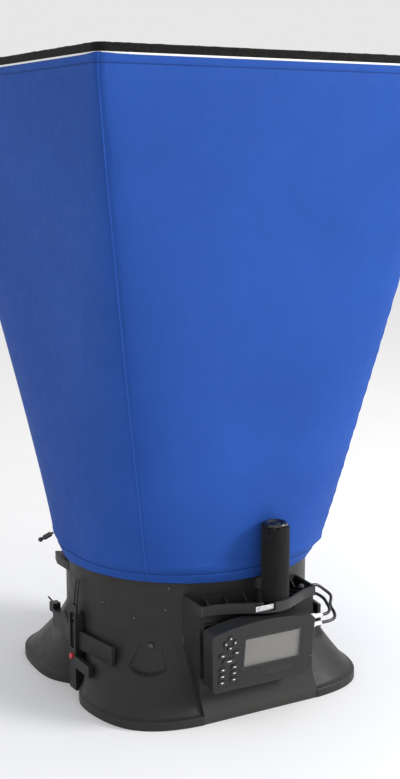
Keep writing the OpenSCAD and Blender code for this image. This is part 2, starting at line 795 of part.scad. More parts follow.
module meter_front_case() {
    color([0.13, 0.13, 0.13])
    in_meter()
        difference() {
            face_prism(0, -case_d, -case_wall - 0.1);
            face_prism(case_wall, -case_d + case_wall, 1);
            // display window and its bezel step
            translate([lcd_x - lcd_w / 2, -case_d - 1, lcd_z - lcd_h / 2])
                cube([lcd_w, case_wall + 2, lcd_h]);
            translate([lcd_x - lcd_w / 2 - 4, -case_d - 1, lcd_z - lcd_h / 2 - 4])
                cube([lcd_w + 8, 2.2, lcd_h + 8]);
            // key holes
            for (k = keys)
                translate([pad_x + k[0], -case_d + case_wall + 1, pad_z + k[1]])
                    rotate([90, 0, 0])
                        linear_extrude(case_wall + 2)
                            key_shape(k, key_gap);
            // label recess
            translate([label_x - 28, -case_d - 1, label_z - 6])
                cube([56, 1.8, 12]);
            // port holes
            for (p = [port_low, port_high])
                translate([port_x - 10, p[0], p[1]])
                    rotate([0, 90, 0])
                        cylinder(r = 4.4, h = 20);
        }
}
box_half = 57;
box_z = [12, 90];
box_d = 17;
module meter_rear_case() {
    color([0.12, 0.12, 0.12])
    in_meter()
        difference() {
            union() {
                face_prism(0, -case_wall, 0);
                translate([-box_half, -eps, box_z[0]])
                    cube([2 * box_half, box_d, box_z[1] - box_z[0]]);
                for (s = [-1, 1])
                    translate([s * (pocket_half - 11) - 8, 0, 0])
                        rotate([-lean, 0, 0]) {
                            translate([0, hinge_y + house_y + 4, hinge_z - meter_z])
                                rotate([0, 90, 0])
                                    cylinder(r = 5, h = 16);
                            translate([0, -1, hinge_z - meter_z - 3.5])
                                cube([16, 7, 7]);
                        }
            }
            translate([-box_half + case_wall, -case_wall - 1, box_z[0] + case_wall])
                cube([2 * (box_half - case_wall), box_d + 1, box_z[1] - box_z[0] - 2 * case_wall]);
            // battery door's seat
            translate([-46, box_d - case_wall - 1, box_z[0] + 14])
                cube([92, case_wall + 3, box_z[1] - box_z[0] - 28]);
            rotate([-lean, 0, 0])
                translate([-meter_w / 2, hinge_y + house_y + 4, hinge_z - meter_z])
                    rotate([0, 90, 0])
                        cylinder(r = pin_r + pin_gap, h = meter_w);
        }
}
module battery_door() {
    color([0.14, 0.14, 0.14])
    in_meter()
        translate([-46 + gap, box_d - case_wall + 0.1, box_z[0] + 14 + gap])
            cube([92 - 2 * gap, case_wall - 0.2, box_z[1] - box_z[0] - 28 - 2 * gap]);
}
module batteries() {
    color([0.55, 0.45, 0.2])
    in_meter()
        for (x = [-52, 1], z = [box_z[0] + 12, box_z[0] + 28, box_z[0] + 44, box_z[0] + 60])
            translate([x, 5.5, z])
                rotate([0, 90, 0])
                    union() {
                        cylinder(r = 7, h = 48);
                        translate([0, 0, 47]) cylinder(r = 2.7, h = 3);
                    }
}
module circuit_board() {
    color([0.1, 0.35, 0.15])
    in_meter()
        translate([-80, -13, 9])
            cube([160, 1.6, 84]);
}
module lcd_window() {
    color([0.7, 0.7, 0.66, 0.4])
    in_meter()
        translate([lcd_x - lcd_w / 2 - 4 + gap, -case_d + 0.1, lcd_z - lcd_h / 2 - 4 + gap])
            cube([lcd_w + 8 - 2 * gap, 1, lcd_h + 8 - 2 * gap]);
}
module lcd_panel() {
    color([0.58, 0.56, 0.52])
    in_meter()
        translate([lcd_x - lcd_w / 2 - 3, -case_d + case_wall + 0.2, lcd_z - lcd_h / 2 - 3])
            cube([lcd_w + 6, 3, lcd_h + 6]);
}
module meter_label() {
    color([0.06, 0.06, 0.06])
    in_meter()
        translate([label_x - 28 + gap, -case_d, label_z - 6 + gap])
            cube([56 - 2 * gap, 0.7, 12 - 2 * gap]);
}
module meter_hinge_pin() {
    color([0.6, 0.6, 0.6])
    translate([meter_x - pocket_half - 9, hinge_y, hinge_z])
        rotate([0, 90, 0])
            cylinder(r = pin_r, h = 2 * pocket_half + 18);
}
catch_w = 34;
module meter_catch() {
    color([0.4, 0.4, 0.4])
    translate([catch_x - catch_w / 2, lip_y(catch_x) - 1.5, tray_z + 4.5])
        union() {
            cube([catch_w, 3.5, 9]);
            translate([4, -2, 2]) cube([catch_w - 8, 3, 5]);
        }
}

// ---- side posts, brackets, latches and buttons ---------------------------
post_x = throat_r + 0.7;
button_z = 57;
hinge_r = 2;
latch_z = 118;
module post() {
    difference() {
        union() {
            translate([post_x, -part_y - post_w / 2, 0])
                cube([post_d, post_w, post_h - 14]);
            // ears that hold the latch's pin
            for (y = [-post_w / 2, post_w / 2 - 4])
                translate([post_x + 2, -part_y + y, post_h - 15])
                    cube([post_d - 2, 4, 15]);
        }
        // groove down the post's face
        translate([post_x + post_d - 3, -part_y - post_w / 2 + 5, button_z + 14])
            cube([5, post_w - 10, post_h]);
        translate([post_x + post_d - 9, -part_y, button_z])
            rotate([0, 90, 0])
                cylinder(r = button_r + button_gap, h = 20);
        translate([post_x + 10, -part_y - post_w, latch_z + 2])
            rotate([-90, 0, 0])
                cylinder(r = hinge_r + 0.05, h = 2 * post_w);
    }
}
module latch() {
    translate([0, -part_y, 0])
        union() {
            translate([post_x + 10, -post_w / 2, latch_z + 2])
                rotate([-90, 0, 0])
                    cylinder(r = hinge_r, h = post_w);
            translate([post_x + 10, -post_w / 2 + 4 + lug, latch_z + 2])
                rotate([-90, 0, 0])
                    cylinder(r = 3.5, h = post_w - 8 - 2 * lug);
            translate([post_x + 8, -post_w / 2 + 4 + lug, latch_z + 2])
                cube([lever_t, post_w - 8 - 2 * lug, 24]);
            // wire bail that reaches up to the throat
            for (y = [-5, 5])
                translate([post_x + 9.5, y, latch_z + 24])
                    rotate([0, -7, 0])
                        cylinder(r = 1.1, h = 44);
            translate([post_x + 9.5 - 44 * sin(7), -6.1, latch_z + 24 + 44 * cos(7) - 0.5])
                rotate([-90, 0, 0])
                    cylinder(r = 1.1, h = 12.2);
        }
}
module button() {
    translate([post_x + post_d - 5.5, -part_y, button_z])
        rotate([0, 90, 0])
            union() {
                cylinder(r = button_r, h = 9);
                translate([0, 0, 9]) cylinder(r = button_r - 1, h = 1);
            }
}
// Fins beside the post and the box below the front one, sunk into the skirt.
module bracket() {
    for (s = [-1, 1])
        translate([0, -part_y, 0])
            mirror([0, s > 0 ? 0 : 1, 0])
                translate([0, 0, 72])
                    linear_extrude(31)
                        polygon([[throat_r + 6, post_w / 2 + 1], [throat_r + 11, post_w / 2 + 1],
                                 [throat_r + (s > 0 ? 4 : -3), 106], [throat_r - 9, 106]]);
    translate([0, -part_y, 44])
        mirror([0, 1, 0])
            linear_extrude(19)
                polygon([[throat_r + 15, post_w / 2 + 1], [throat_r + 21, post_w / 2 + 1],
                         [throat_r + 22, 72], [throat_r + 14, 72]]);
    // buckle on the end of the rear fin
    translate([throat_r - 10, 92, 96])
        cube([14, 16, 16]);
    translate([throat_r - 4, 106, 108])
        rotate([-80, 0, 0])
            cylinder(r = 1.5, h = 24);
}
module left_side() { mirror([1, 0, 0]) children(); }
module left_post() { color([0.12, 0.12, 0.12]) left_side() post(); }
module right_post() { color([0.12, 0.12, 0.12]) post(); }
module left_bracket() { color([0.14, 0.14, 0.14]) left_side() bracket(); }
module right_bracket() { color([0.14, 0.14, 0.14]) bracket(); }
module left_latch() { color([0.1, 0.1, 0.1]) left_side() latch(); }
module right_latch() { color([0.1, 0.1, 0.1]) latch(); }
module left_button() { color([0.8, 0.1, 0.12]) left_side() button(); }
module right_button() { color([0.8, 0.1, 0.12]) button(); }

// ---- screws --------------------------------------------------------------
module screw(r, h) {
    difference() {
        cylinder(r = r, h = h);
        translate([0, 0, h - 0.8])
            cube([2 * r * 0.8, 0.9, 2], center = true);
    }
}
throat_screws = [[200, 162], [217, 146], [231.5, 164], [233, 200]];
module base_screws() {
    color([0.3, 0.3, 0.3]) {
        for (q = [0:3])
            rotate([0, 0, 45 + 90 * q])
                translate([skirt_r(45, socket_z - 13) + 0.3, 0, socket_z - 8])
                    rotate([0, 90, 0])
                        screw(4.5, 3);
        for (p = throat_screws)
            rotate([0, 0, p[0]])
                translate([throat_r + 0.3, 0, p[1]])
                    rotate([0, 90, 0])
                        screw(2.6, 1.6);
    }
}

base_front_half();
base_rear_half();
hood_collar();
front_housing();
rear_housing();
pole_sockets();
base_screws();
left_post();
right_post();
left_bracket();
right_bracket();
manifold_hub();
manifold_arms();
high_tube();
low_tube();
tube_bulkheads();
front_grip_core();
front_grip_foam();
front_grip_cap();
rear_grip_core();
rear_grip_foam();
rear_grip_cap();
hood_panel(0);  // hood_rear_panel
hood_panel(1);  // hood_left_panel
hood_panel(2);  // hood_front_panel
hood_panel(3);  // hood_right_panel
hood_elastic();
frame_rails();
frame_corners();
foam_gasket();
support_poles();
pole_ferrules();
cord_lock();
hood_clips();
meter_front_case();
meter_rear_case();
lcd_window();
lcd_panel();
circuit_board();
batteries();
battery_door();
meter_label();
pressure_ports();
tube_connectors();
meter_hinge_pin();
meter_catch();
left_latch();
right_latch();
left_button();
right_button();
key(0);  // key_up
key(1);  // key_right
key(2);  // key_down
key(3);  // key_left
key(4);  // key_top_left
key(5);  // key_top_right
key(6);  // key_wide
key(7);  // key_1_left
key(8);  // key_1_right
key(9);  // key_2_left
key(10);  // key_2_right
key(11);  // key_3_left
key(12);  // key_3_right
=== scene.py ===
"""Air-volume capture hood: the looks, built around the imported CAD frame.

Metres, +Z up, meter towards -Y. Sizes named below are in millimetres unless a comment says otherwise.
"""
import json
import math

import bmesh
import bpy
import numpy as np
from mathutils import Matrix, Vector, noise


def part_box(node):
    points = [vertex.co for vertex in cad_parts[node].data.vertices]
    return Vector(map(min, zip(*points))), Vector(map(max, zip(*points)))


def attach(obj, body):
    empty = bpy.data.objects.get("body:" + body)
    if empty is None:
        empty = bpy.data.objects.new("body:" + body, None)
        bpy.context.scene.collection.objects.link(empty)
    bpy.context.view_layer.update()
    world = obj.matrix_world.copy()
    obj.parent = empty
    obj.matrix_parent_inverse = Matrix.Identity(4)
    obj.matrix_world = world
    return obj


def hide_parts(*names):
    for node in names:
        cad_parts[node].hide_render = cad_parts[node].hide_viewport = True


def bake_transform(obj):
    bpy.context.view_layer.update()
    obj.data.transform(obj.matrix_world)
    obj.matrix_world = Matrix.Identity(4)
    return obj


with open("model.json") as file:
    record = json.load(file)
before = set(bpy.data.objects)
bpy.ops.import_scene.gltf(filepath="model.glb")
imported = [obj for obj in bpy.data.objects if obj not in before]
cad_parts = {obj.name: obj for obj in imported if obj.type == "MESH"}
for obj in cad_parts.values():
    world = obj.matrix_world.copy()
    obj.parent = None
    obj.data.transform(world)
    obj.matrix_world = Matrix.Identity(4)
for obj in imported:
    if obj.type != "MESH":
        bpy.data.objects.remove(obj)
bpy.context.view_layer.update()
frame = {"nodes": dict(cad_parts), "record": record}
MM = 0.001

# ---- sizes, in millimetres ---------------------------------------------------------------------
THROAT_R = 205
WALL = 4
THROAT_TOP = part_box("base_rear_half")[1][2] / MM
FLARE_Z = 120
FLARE_POWER = 1.35
FOOT_X = 243
FOOT_Y = 248
FOOT_N = 4.2
RIM_H = 14
RIM_EDGE = 2
RIM_SETBACK = 6
NOTCH = 34
NOTCH_TURN = 10
PART_Y = 12
SEAM_GAP = 0.15
HOUSE_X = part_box("front_housing")[1][0] / MM
FRAME_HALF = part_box("foam_gasket")[1][0] / MM
FOAM_Z = [c[2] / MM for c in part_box("foam_gasket")]
LIP_W = 24
HOOD_Z = [c[2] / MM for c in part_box("hood_front_panel")]
HOOD_NODES = ["hood_front_panel", "hood_right_panel", "hood_rear_panel", "hood_left_panel"]
WRAP_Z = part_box("frame_rails")[0][2] / MM - 6
WAIST_Z = 244
WAIST_HALF = THROAT_R + 7
WAIST_R = 165
HEM_R = THROAT_R + 5
HEM_STITCH = 16.5
TOP_STITCH = 9.8
FRAME_R = 14
SAG = 7
FABRIC_T = 1.6
METER_LEAN = math.radians(7)
METER_ORIGIN = Vector((-14, -234, 58)) * MM
CASE_D = 28
SOCKET_TURNS = (45, 135, 225, 315)


# ---- camera ------------------------------------------------------------------------------------
CAMERA_AT = Vector((-1.0745, -1.8958, 0.8706))  # metres
CAMERA_YAW = math.radians(30.19)
CAMERA_PITCH = math.radians(10.15)
CAMERA_LENS = 60.8


def make_camera():
    level = math.cos(CAMERA_PITCH)
    look = Vector((math.sin(CAMERA_YAW) * level, math.cos(CAMERA_YAW) * level, -math.sin(CAMERA_PITCH)))
    data = bpy.data.cameras.new("camera")
    data.sensor_width = 36
    data.lens = CAMERA_LENS
    data.clip_end = 50
    cam = bpy.data.objects.new("camera", data)
    cam.location = CAMERA_AT
    cam.rotation_euler = look.to_track_quat("-Z", "Y").to_euler()
    bpy.context.scene.collection.objects.link(cam)
    bpy.context.scene.camera = cam


make_camera()


# ---- small helpers -----------------------------------------------------------------------------
WELD_DISTANCE = 2e-6  # metres
FLAT_ANGLE = math.radians(0.8)
BEVEL_ANGLE = math.radians(32)
AXIS_R = 0.01


def new_object(name, verts, faces, mats=(), smooth=True):
    mesh = bpy.data.meshes.new(name)
    mesh.from_pydata([tuple(v) for v in verts], [], [tuple(f) for f in faces])
    mesh.validate()
    obj = bpy.data.objects.new(name, mesh)
    bpy.context.scene.collection.objects.link(obj)
    for m in mats:
        mesh.materials.append(m)
    if smooth:
        mesh.shade_smooth()
    return obj


def apply_modifiers(obj):
    bpy.context.view_layer.update()
    graph = bpy.context.evaluated_depsgraph_get()
    mesh = bpy.data.meshes.new_from_object(obj.evaluated_get(graph), depsgraph=graph)
    obj.modifiers.clear()
    obj.data = mesh
    return obj


def face_outwards(obj):
    bm = bmesh.new()
    bm.from_mesh(obj.data)
    bmesh.ops.recalc_face_normals(bm, faces=bm.faces)
    bm.to_mesh(obj.data)
    bm.free()


def cutter_box(low, high):
    x0, y0, z0 = (c * MM for c in low)
    x1, y1, z1 = (c * MM for c in high)
    verts = [(x, y, z) for z in (z0, z1) for x, y in ((x0, y0), (x1, y0), (x1, y1), (x0, y1))]
    faces = [(3, 2, 1, 0), (4, 5, 6, 7), (0, 1, 5, 4), (1, 2, 6, 5), (2, 3, 7, 6), (3, 0, 4, 7)]
    obj = new_object("cutter", verts, faces, smooth=False)
    obj.hide_render = True
    return obj


def cut_away(obj, cutters, solver):
    """Cuts every cutter out of the piece, then removes the cutters."""
    for cutter in cutters:
        cut = obj.modifiers.new("cut", "BOOLEAN")
        cut.operation = "DIFFERENCE"
        cut.solver = solver
        cut.object = cutter
    apply_modifiers(obj)
    for cutter in cutters:
        bpy.data.objects.remove(cutter)


def place(obj, body, slot, *nodes):
    """The piece rides on a body and stands for the CAD nodes named, which it hides; the slot is not used.
    """
    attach(obj, body)
    if nodes:
        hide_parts(*nodes)
    return obj


def body_of(node):
    for name, members in frame["record"]["behaviour"]["bodies"].items():
        if node in members:
            return name
    raise ValueError(node)


def slot_of(node):
    return next(s["material_slot"] for s in frame["record"]["subparts"] if s["node"] == node)


def soften(node, material, width, segments=2):
    """A copy of a CAD node with rounded edges of this width, which stands for the node."""
    source = frame["nodes"][node]
    mesh = source.data.copy()
    mesh.materials.clear()
    mesh.materials.append(material)
    obj = bpy.data.objects.new(node + "_piece", mesh)
    bpy.context.scene.collection.objects.link(obj)
    bm = bmesh.new()
    bm.from_mesh(mesh)
    bmesh.ops.remove_doubles(bm, verts=bm.verts, dist=WELD_DISTANCE)
    bmesh.ops.dissolve_limit(bm, angle_limit=FLAT_ANGLE, verts=bm.verts, edges=bm.edges)
    for f in bm.faces:
        f.smooth = True
    bm.to_mesh(mesh)
    bm.free()
    bevel = obj.modifiers.new("bevel", "BEVEL")
    bevel.width = width * MM
    bevel.segments = segments
    bevel.limit_method = "ANGLE"
    bevel.angle_limit = BEVEL_ANGLE
    bevel.use_clamp_overlap = True
    bevel.miter_outer = "MITER_ARC"
    normals = obj.modifiers.new("normals", "WEIGHTED_NORMAL")
    normals.keep_sharp = True
    apply_modifiers(obj)
    return place(obj, body_of(node), slot_of(node), node)


def grid_faces(rows, cols):
    """Faces of a grid that closes on itself around its columns."""
    faces = []
    for j in range(rows - 1):
        for i in range(cols):
            k = (i + 1) % cols
            faces.append((j * cols + i, j * cols + k, (j + 1) * cols + k, (j + 1) * cols + i))
    return faces


def capped_faces(rows, cols):
    """Faces of a closed grid with a cap on its first and last rows."""
    faces = grid_faces(rows, cols)
    faces.append(tuple(reversed(range(cols))))
    faces.append(tuple(range((rows - 1) * cols, rows * cols)))
    return faces


def lathe(name, profile, at, mats, steps, wobble=0.0):
    """A turned solid from (radius, height) pairs in mm, from the bottom's middle to the top's."""
    verts = []
    for r, z in profile:
        for i in range(steps):
            a = 2 * math.pi * i / steps
            p = Vector((r * math.cos(a), r * math.sin(a), z))
            if wobble and r > 1:
                p *= 1 + wobble * noise.noise(p * 0.16) / max(r, 1)
            verts.append((Vector(at) + p) * MM)
    return new_object(name, verts, capped_faces(len(profile), steps), mats)


def rounded_profile(r, z0, z1, edge, bulge, steps=6):
    """Radius and height pairs of a slightly bulging cylinder with rounded ends."""
    points = [(AXIS_R, z0)]
    for i in range(steps + 1):
        a = math.pi / 2 * i / steps
        points.append((r - edge + edge * math.sin(a), z0 + edge - edge * math.cos(a)))
    rows = 24
    for i in range(1, rows):
        t = i / rows
        points.append((r + bulge * math.sin(math.pi * t), z0 + edge + (z1 - z0 - 2 * edge) * t))
    for i in range(steps + 1):
        a = math.pi / 2 * i / steps
        points.append((r - edge + edge * math.cos(a), z1 - edge + edge * math.sin(a)))
    points.append((AXIS_R, z1))
    return points


# ---- materials ---------------------------------------------------------------------------------
class Shader:
    """A node material with short helpers for the links that every finish needs."""

    def __init__(self, name, color, roughness=0.5, metallic=0.0, specular=0.5):
        self.mat = bpy.data.materials.new(name)
        self.mat.use_nodes = True
        self.tree = self.mat.node_tree
        self.bsdf = self.tree.nodes["Principled BSDF"]
        self.bsdf.inputs["Base Color"].default_value = (*color, 1)
        self.bsdf.inputs["Roughness"].default_value = roughness
        self.bsdf.inputs["Metallic"].default_value = metallic
        self.bsdf.inputs["Specular IOR Level"].default_value = specular
        self.normal = None

    def add(self, kind, **values):
        node = self.tree.nodes.new(kind)
        for key, value in values.items():
            if key in node.inputs:
                node.inputs[key].default_value = value
            else:
                setattr(node, key, value)
        return node

    def link(self, a, b):
        self.tree.links.new(a, b)

    def coords(self, kind="Object"):
        return self.add("ShaderNodeTexCoord").outputs[kind]

    def noise(self, scale, detail=4.0, rough=0.55, coords=None, stretch=None):
        tex = self.add("ShaderNodeTexNoise", Scale=scale, Detail=detail, Roughness=rough)
        source = coords or self.coords()
        if stretch:
            mapping = self.add("ShaderNodeMapping", Scale=stretch)
            self.link(source, mapping.inputs["Vector"])
            source = mapping.outputs["Vector"]
        self.link(source, tex.inputs["Vector"])
        return tex.outputs["Fac"]

    def ramp(self, value, stops):
        node = self.add("ShaderNodeValToRGB")
        elements = node.color_ramp.elements
        while len(elements) < len(stops):
            elements.new(0.5)
        for e, (pos, col) in zip(elements, stops):
            e.position = pos
            e.color = (*col, 1)
        self.link(value, node.inputs["Fac"])
        return node.outputs["Color"]

    def range(self, value, low, high, from_low=0.3, from_high=0.7):
        node = self.add("ShaderNodeMapRange")
        node.inputs["From Min"].default_value = from_low
        node.inputs["From Max"].default_value = from_high
        node.inputs["To Min"].default_value = low
        node.inputs["To Max"].default_value = high
        self.link(value, node.inputs["Value"])
        return node.outputs["Result"]

    def mix(self, factor, a, b):
        node = self.add("ShaderNodeMix", data_type="RGBA", blend_type="MIX")
        colors = [s for s in node.inputs if s.type == "RGBA"]
        for socket, value in ((node.inputs[0], factor), (colors[0], a), (colors[1], b)):
            if isinstance(value, tuple):
                socket.default_value = (*value, 1)
            else:
                self.link(value, socket)
        return next(s for s in node.outputs if s.type == "RGBA")

    def math(self, op, a, b=None):
        node = self.add("ShaderNodeMath", operation=op)
        for socket, value in zip(node.inputs, (a, b)):
            if value is None:
                continue
            if isinstance(value, (int, float)):
                socket.default_value = value
            else:
                self.link(value, socket)
        return node.outputs[0]

    def bump(self, height, strength=0.3, distance=0.0003):
        node = self.add("ShaderNodeBump", Strength=strength, Distance=distance)
        self.link(height, node.inputs["Height"])
        if self.normal:
            self.link(self.normal, node.inputs["Normal"])
        self.normal = node.outputs["Normal"]
        self.link(self.normal, self.bsdf.inputs["Normal"])

    def base(self, socket):
        self.link(socket, self.bsdf.inputs["Base Color"])

    def rough(self, socket):
        self.link(socket, self.bsdf.inputs["Roughness"])


def scaled(color, k):
    return tuple(min(1.0, c * k) for c in color)


def moulded(name, color, roughness, grain=900, depth=0.00012, specular=0.5, edge_highlight=0.35):
    """Textured injection-moulded plastic: fine grain, cloudy gloss and a painted highlight that makes its
    sharp edges paler.
    """
    s = Shader(name, color, roughness, specular=specular)
    cloud = s.noise(9, 5, 0.6)
    base = s.ramp(cloud, [(0.3, scaled(color, 0.82)), (0.7, scaled(color, 1.2))])
    pointy = s.add("ShaderNodeNewGeometry").outputs["Pointiness"]
    # Painted highlight: Pointiness lightens the sharp edges towards a paler copy of the colour.
    edge = s.range(pointy, 0.0, edge_highlight, 0.52, 0.62)
    s.base(s.mix(edge, base, scaled(color, 2.6)))
    s.rough(s.range(s.noise(38, 4), roughness - 0.07, roughness + 0.09))
    s.bump(s.noise(grain, 2, 0.5), 0.35, depth)
    s.bump(s.noise(60, 3), 0.08, 0.0006)
    return s.mat


def glossy(name, color, roughness, coat=0.0):
    """Smooth plastic with faint handling marks."""
    s = Shader(name, color, roughness)
    s.base(s.ramp(s.noise(30, 4), [(0.3, scaled(color, 0.85)), (0.7, scaled(color, 1.15))]))
    s.rough(s.range(s.noise(140, 5, 0.7), roughness - 0.05, roughness + 0.12))
    s.bump(s.noise(420, 3), 0.06, 0.0002)
    s.bsdf.inputs["Coat Weight"].default_value = coat
    return s.mat


def metal(name, color, roughness, brush=(1, 1, 40), painted=False):
    """Brushed, cast or painted metal with fine streaks."""
    s = Shader(name, color, roughness, metallic=0.0 if painted else 1.0)
    streak = s.noise(180, 5, 0.7, stretch=brush)
    s.base(s.ramp(streak, [(0.25, scaled(color, 0.8)), (0.75, scaled(color, 1.12))]))
    s.rough(s.range(streak, roughness - 0.08, roughness + 0.12))
    s.bump(streak, 0.12, 0.0001)
    return s.mat


def foam(name, color, pit, depth=0.0009):
    """Open-celled foam: painted shade in the pits between paler cell walls."""
    s = Shader(name, color, 0.92, specular=0.12)
    cells = s.add("ShaderNodeTexVoronoi", Scale=pit, feature="F1")
    s.link(s.coords(), cells.inputs["Vector"])
    speckle = s.noise(pit * 0.7, 3, 0.7)
    stops = [(0.05, scaled(color, 0.35)), (0.45, color), (0.9, scaled(color, 1.7))]
    # Painted shade: the ramp over the cells is dark in the pits and paler on the cell walls.
    shade = s.ramp(cells.outputs["Distance"], stops)
    s.base(s.mix(s.range(speckle, 0.0, 0.75, 0.42, 0.68), shade, scaled(color, 2.4)))
    s.bump(cells.outputs["Distance"], 0.7, depth)
    s.bump(s.noise(70, 4), 0.2, 0.001)
    s.bsdf.inputs["Sheen Weight"].default_value = 0.05
    return s.mat


YARN_PITCH = 0.0009  # metres


def woven(name, color, hems):
    """Coated woven nylon: crossed yarns, light corner seams with painted shade beside them, dark stitching
    at the hems' heights.
    """
    s = Shader(name, color, 0.75, specular=0.08)
    uv = s.coords("UV")
    split = s.add("ShaderNodeSeparateXYZ")
    s.link(uv, split.inputs[0])
    yarn = 2 * math.pi / YARN_PITCH
    warp = s.math("ABSOLUTE", s.math("SINE", s.math("MULTIPLY", split.outputs[0], yarn)))
    weft = s.math("ABSOLUTE", s.math("SINE", s.math("MULTIPLY", split.outputs[1], yarn)))
    weave = s.math("MULTIPLY", warp, weft)
    cloud = s.ramp(s.noise(5, 6, 0.62), [(0.3, scaled(color, 0.9)), (0.7, scaled(color, 1.08))])
    slub = s.range(s.noise(420, 3, 0.6, stretch=(1, 1, 0.12)), 0.0, 0.22, 0.45, 0.75)
    base = s.mix(slub, cloud, scaled(color, 1.35))
    cloth = s.mix(s.range(weave, 0.0, 0.16, 0.0, 1.0), base, scaled(color, 0.72))
    seam = s.add("ShaderNodeAttribute", attribute_name="seam").outputs["Fac"]
    # Painted shade: a darker band 2 to 6 mm either side of each corner seam.
    shaded = s.mix(s.range(seam, 0.35, 0.0, 2.0, 6.0), cloth, scaled(color, 0.6))
    seamed = s.mix(s.range(seam, 0.3, 0.0, 0.6, 1.4), shaded, scaled(color, 2.3))
    height = s.add("ShaderNodeSeparateXYZ")
    s.link(s.coords(), height.inputs[0])
    for z in hems:
        off = s.math("ABSOLUTE", s.math("SUBTRACT", height.outputs[2], z * MM))
        seamed = s.mix(s.range(off, 0.6, 0.0, 0.0004, 0.0014), seamed, scaled(color, 0.25))
    s.base(seamed)
    s.rough(s.range(s.noise(60, 4), 0.55, 0.72))
    s.bump(weave, 0.35, 0.00022)
    s.bump(s.noise(26, 5, 0.6), 0.12, 0.0012)
    s.bsdf.inputs["Sheen Weight"].default_value = 0.02
    s.bsdf.inputs["Sheen Roughness"].default_value = 0.45
    s.bsdf.inputs["Sheen Tint"].default_value = (0.55, 0.7, 1.0, 1)
    return s.mat


mat_base = moulded("base_plastic", (0.020, 0.020, 0.0185), 0.5, specular=0.32)
mat_housing = moulded("housing_plastic", (0.018, 0.018, 0.017), 0.48, specular=0.32, edge_highlight=0.8)
mat_post = moulded("post_plastic", (0.011, 0.011, 0.0105), 0.45, grain=1100, specular=0.28)
mat_collar = moulded("collar_plastic", (0.03, 0.03, 0.03), 0.55)
mat_case = moulded("meter_plastic", (0.016, 0.016, 0.0165), 0.45, grain=1300, depth=0.00008, specular=0.35)
mat_screw = metal("screw_metal", (0.16, 0.16, 0.16), 0.35)
mat_arm = metal("arm_metal", (0.72, 0.72, 0.72), 0.28, brush=(1, 1, 1))
mat_rail = metal("rail_paint", (0.86, 0.87, 0.87), 0.34, painted=True)
mat_corner = moulded("corner_plastic", (0.72, 0.72, 0.71), 0.45, edge_highlight=0.0)
mat_fabric = woven("hood_nylon", (0.021, 0.080, 0.36), [HOOD_Z[0] + HEM_STITCH, HOOD_Z[1] - TOP_STITCH])
mat_gasket = foam("gasket_foam", (0.0075, 0.007, 0.0065), pit=420)
mat_grip = foam("grip_foam", (0.009, 0.009, 0.009), pit=900, depth=0.0004)
mat_cap = glossy("cap_gloss", (0.012, 0.012, 0.012), 0.22, coat=0.4)
mat_tube = glossy("tube_rubber", (0.014, 0.014, 0.014), 0.3)
mat_connector = glossy("connector_plastic", (0.82, 0.82, 0.8), 0.3)
mat_fitting = glossy("fitting_plastic", (0.5, 0.5, 0.49), 0.35)
mat_key = glossy("key_rubber", (0.012, 0.012, 0.012), 0.38)
mat_mark = glossy("key_mark", (0.85, 0.85, 0.85), 0.45)
mat_red = glossy("button_red", (0.62, 0.018, 0.035), 0.25, coat=0.3)
mat_catch = metal("catch_metal", (0.62, 0.62, 0.63), 0.2)
mat_label = glossy("label_gloss", (0.012, 0.012, 0.012), 0.2)
mat_pole = metal("pole_fibreglass", (0.62, 0.6, 0.52), 0.4, painted=True)
mat_elastic = moulded("elastic_braid", (0.02, 0.02, 0.02), 0.8, grain=600, depth=0.0004)
mat_board = glossy("board_mask", (0.02, 0.12, 0.04), 0.35)
mat_battery = glossy("battery_wrap", (0.35, 0.24, 0.09), 0.3)


def display_material():
    s = Shader("display_grey", (0.24, 0.225, 0.2), 0.35)
    s.base(s.ramp(s.noise(14, 3), [(0.25, (0.16, 0.153, 0.135)), (0.75, (0.195, 0.185, 0.166))]))
    s.bump(s.noise(900, 1), 0.05, 0.00005)
    return s.mat


def window_material():
    s = Shader("window_clear", (0.4, 0.4, 0.39), 0.08)
    s.bsdf.inputs["Alpha"].default_value = 0.14
    s.rough(s.range(s.noise(220, 3), 0.04, 0.12))
    return s.mat


mat_display = display_material()
mat_window = window_material()


# ---- base --------------------------------------------------------------------------------------
def smooth(t):
    t = min(1.0, max(0.0, t))
    return t * t * (3 - 2 * t)


def turn_gap(a, b):
    return abs((a - b + 540) % 360 - 180)


SIDE_TURN = math.degrees(math.asin(PART_Y / THROAT_R))
# The bell-shaped flat around each pole socket's screw: its top, its arc at the foot, how its sides
# spread and how its face leans out towards the foot.
POCKET_REACH = 0.2  # radians
POCKET_R = 208
POCKET_TOP = 141
POCKET_FADE = 14
POCKET_LOW = 66
POCKET_ARC = 95
POCKET_HALF = 12
POCKET_SPREAD = 19
POCKET_SPREAD_Z = 140
POCKET_FACE = 203.2
POCKET_LEAN = 24
POCKET_LEAN_Z = 124


def foot_radius(turn):
    t = math.radians(turn)
    sides = (180 + SIDE_TURN, -SIDE_TURN)
    dip = sum(math.exp(-((turn_gap(turn, side) / NOTCH_TURN) ** 2)) for side in sides)
    outline = (abs(math.cos(t)) / FOOT_X) ** FOOT_N + (abs(math.sin(t)) / FOOT_Y) ** FOOT_N
    return outline ** (-1 / FOOT_N) - NOTCH * dip


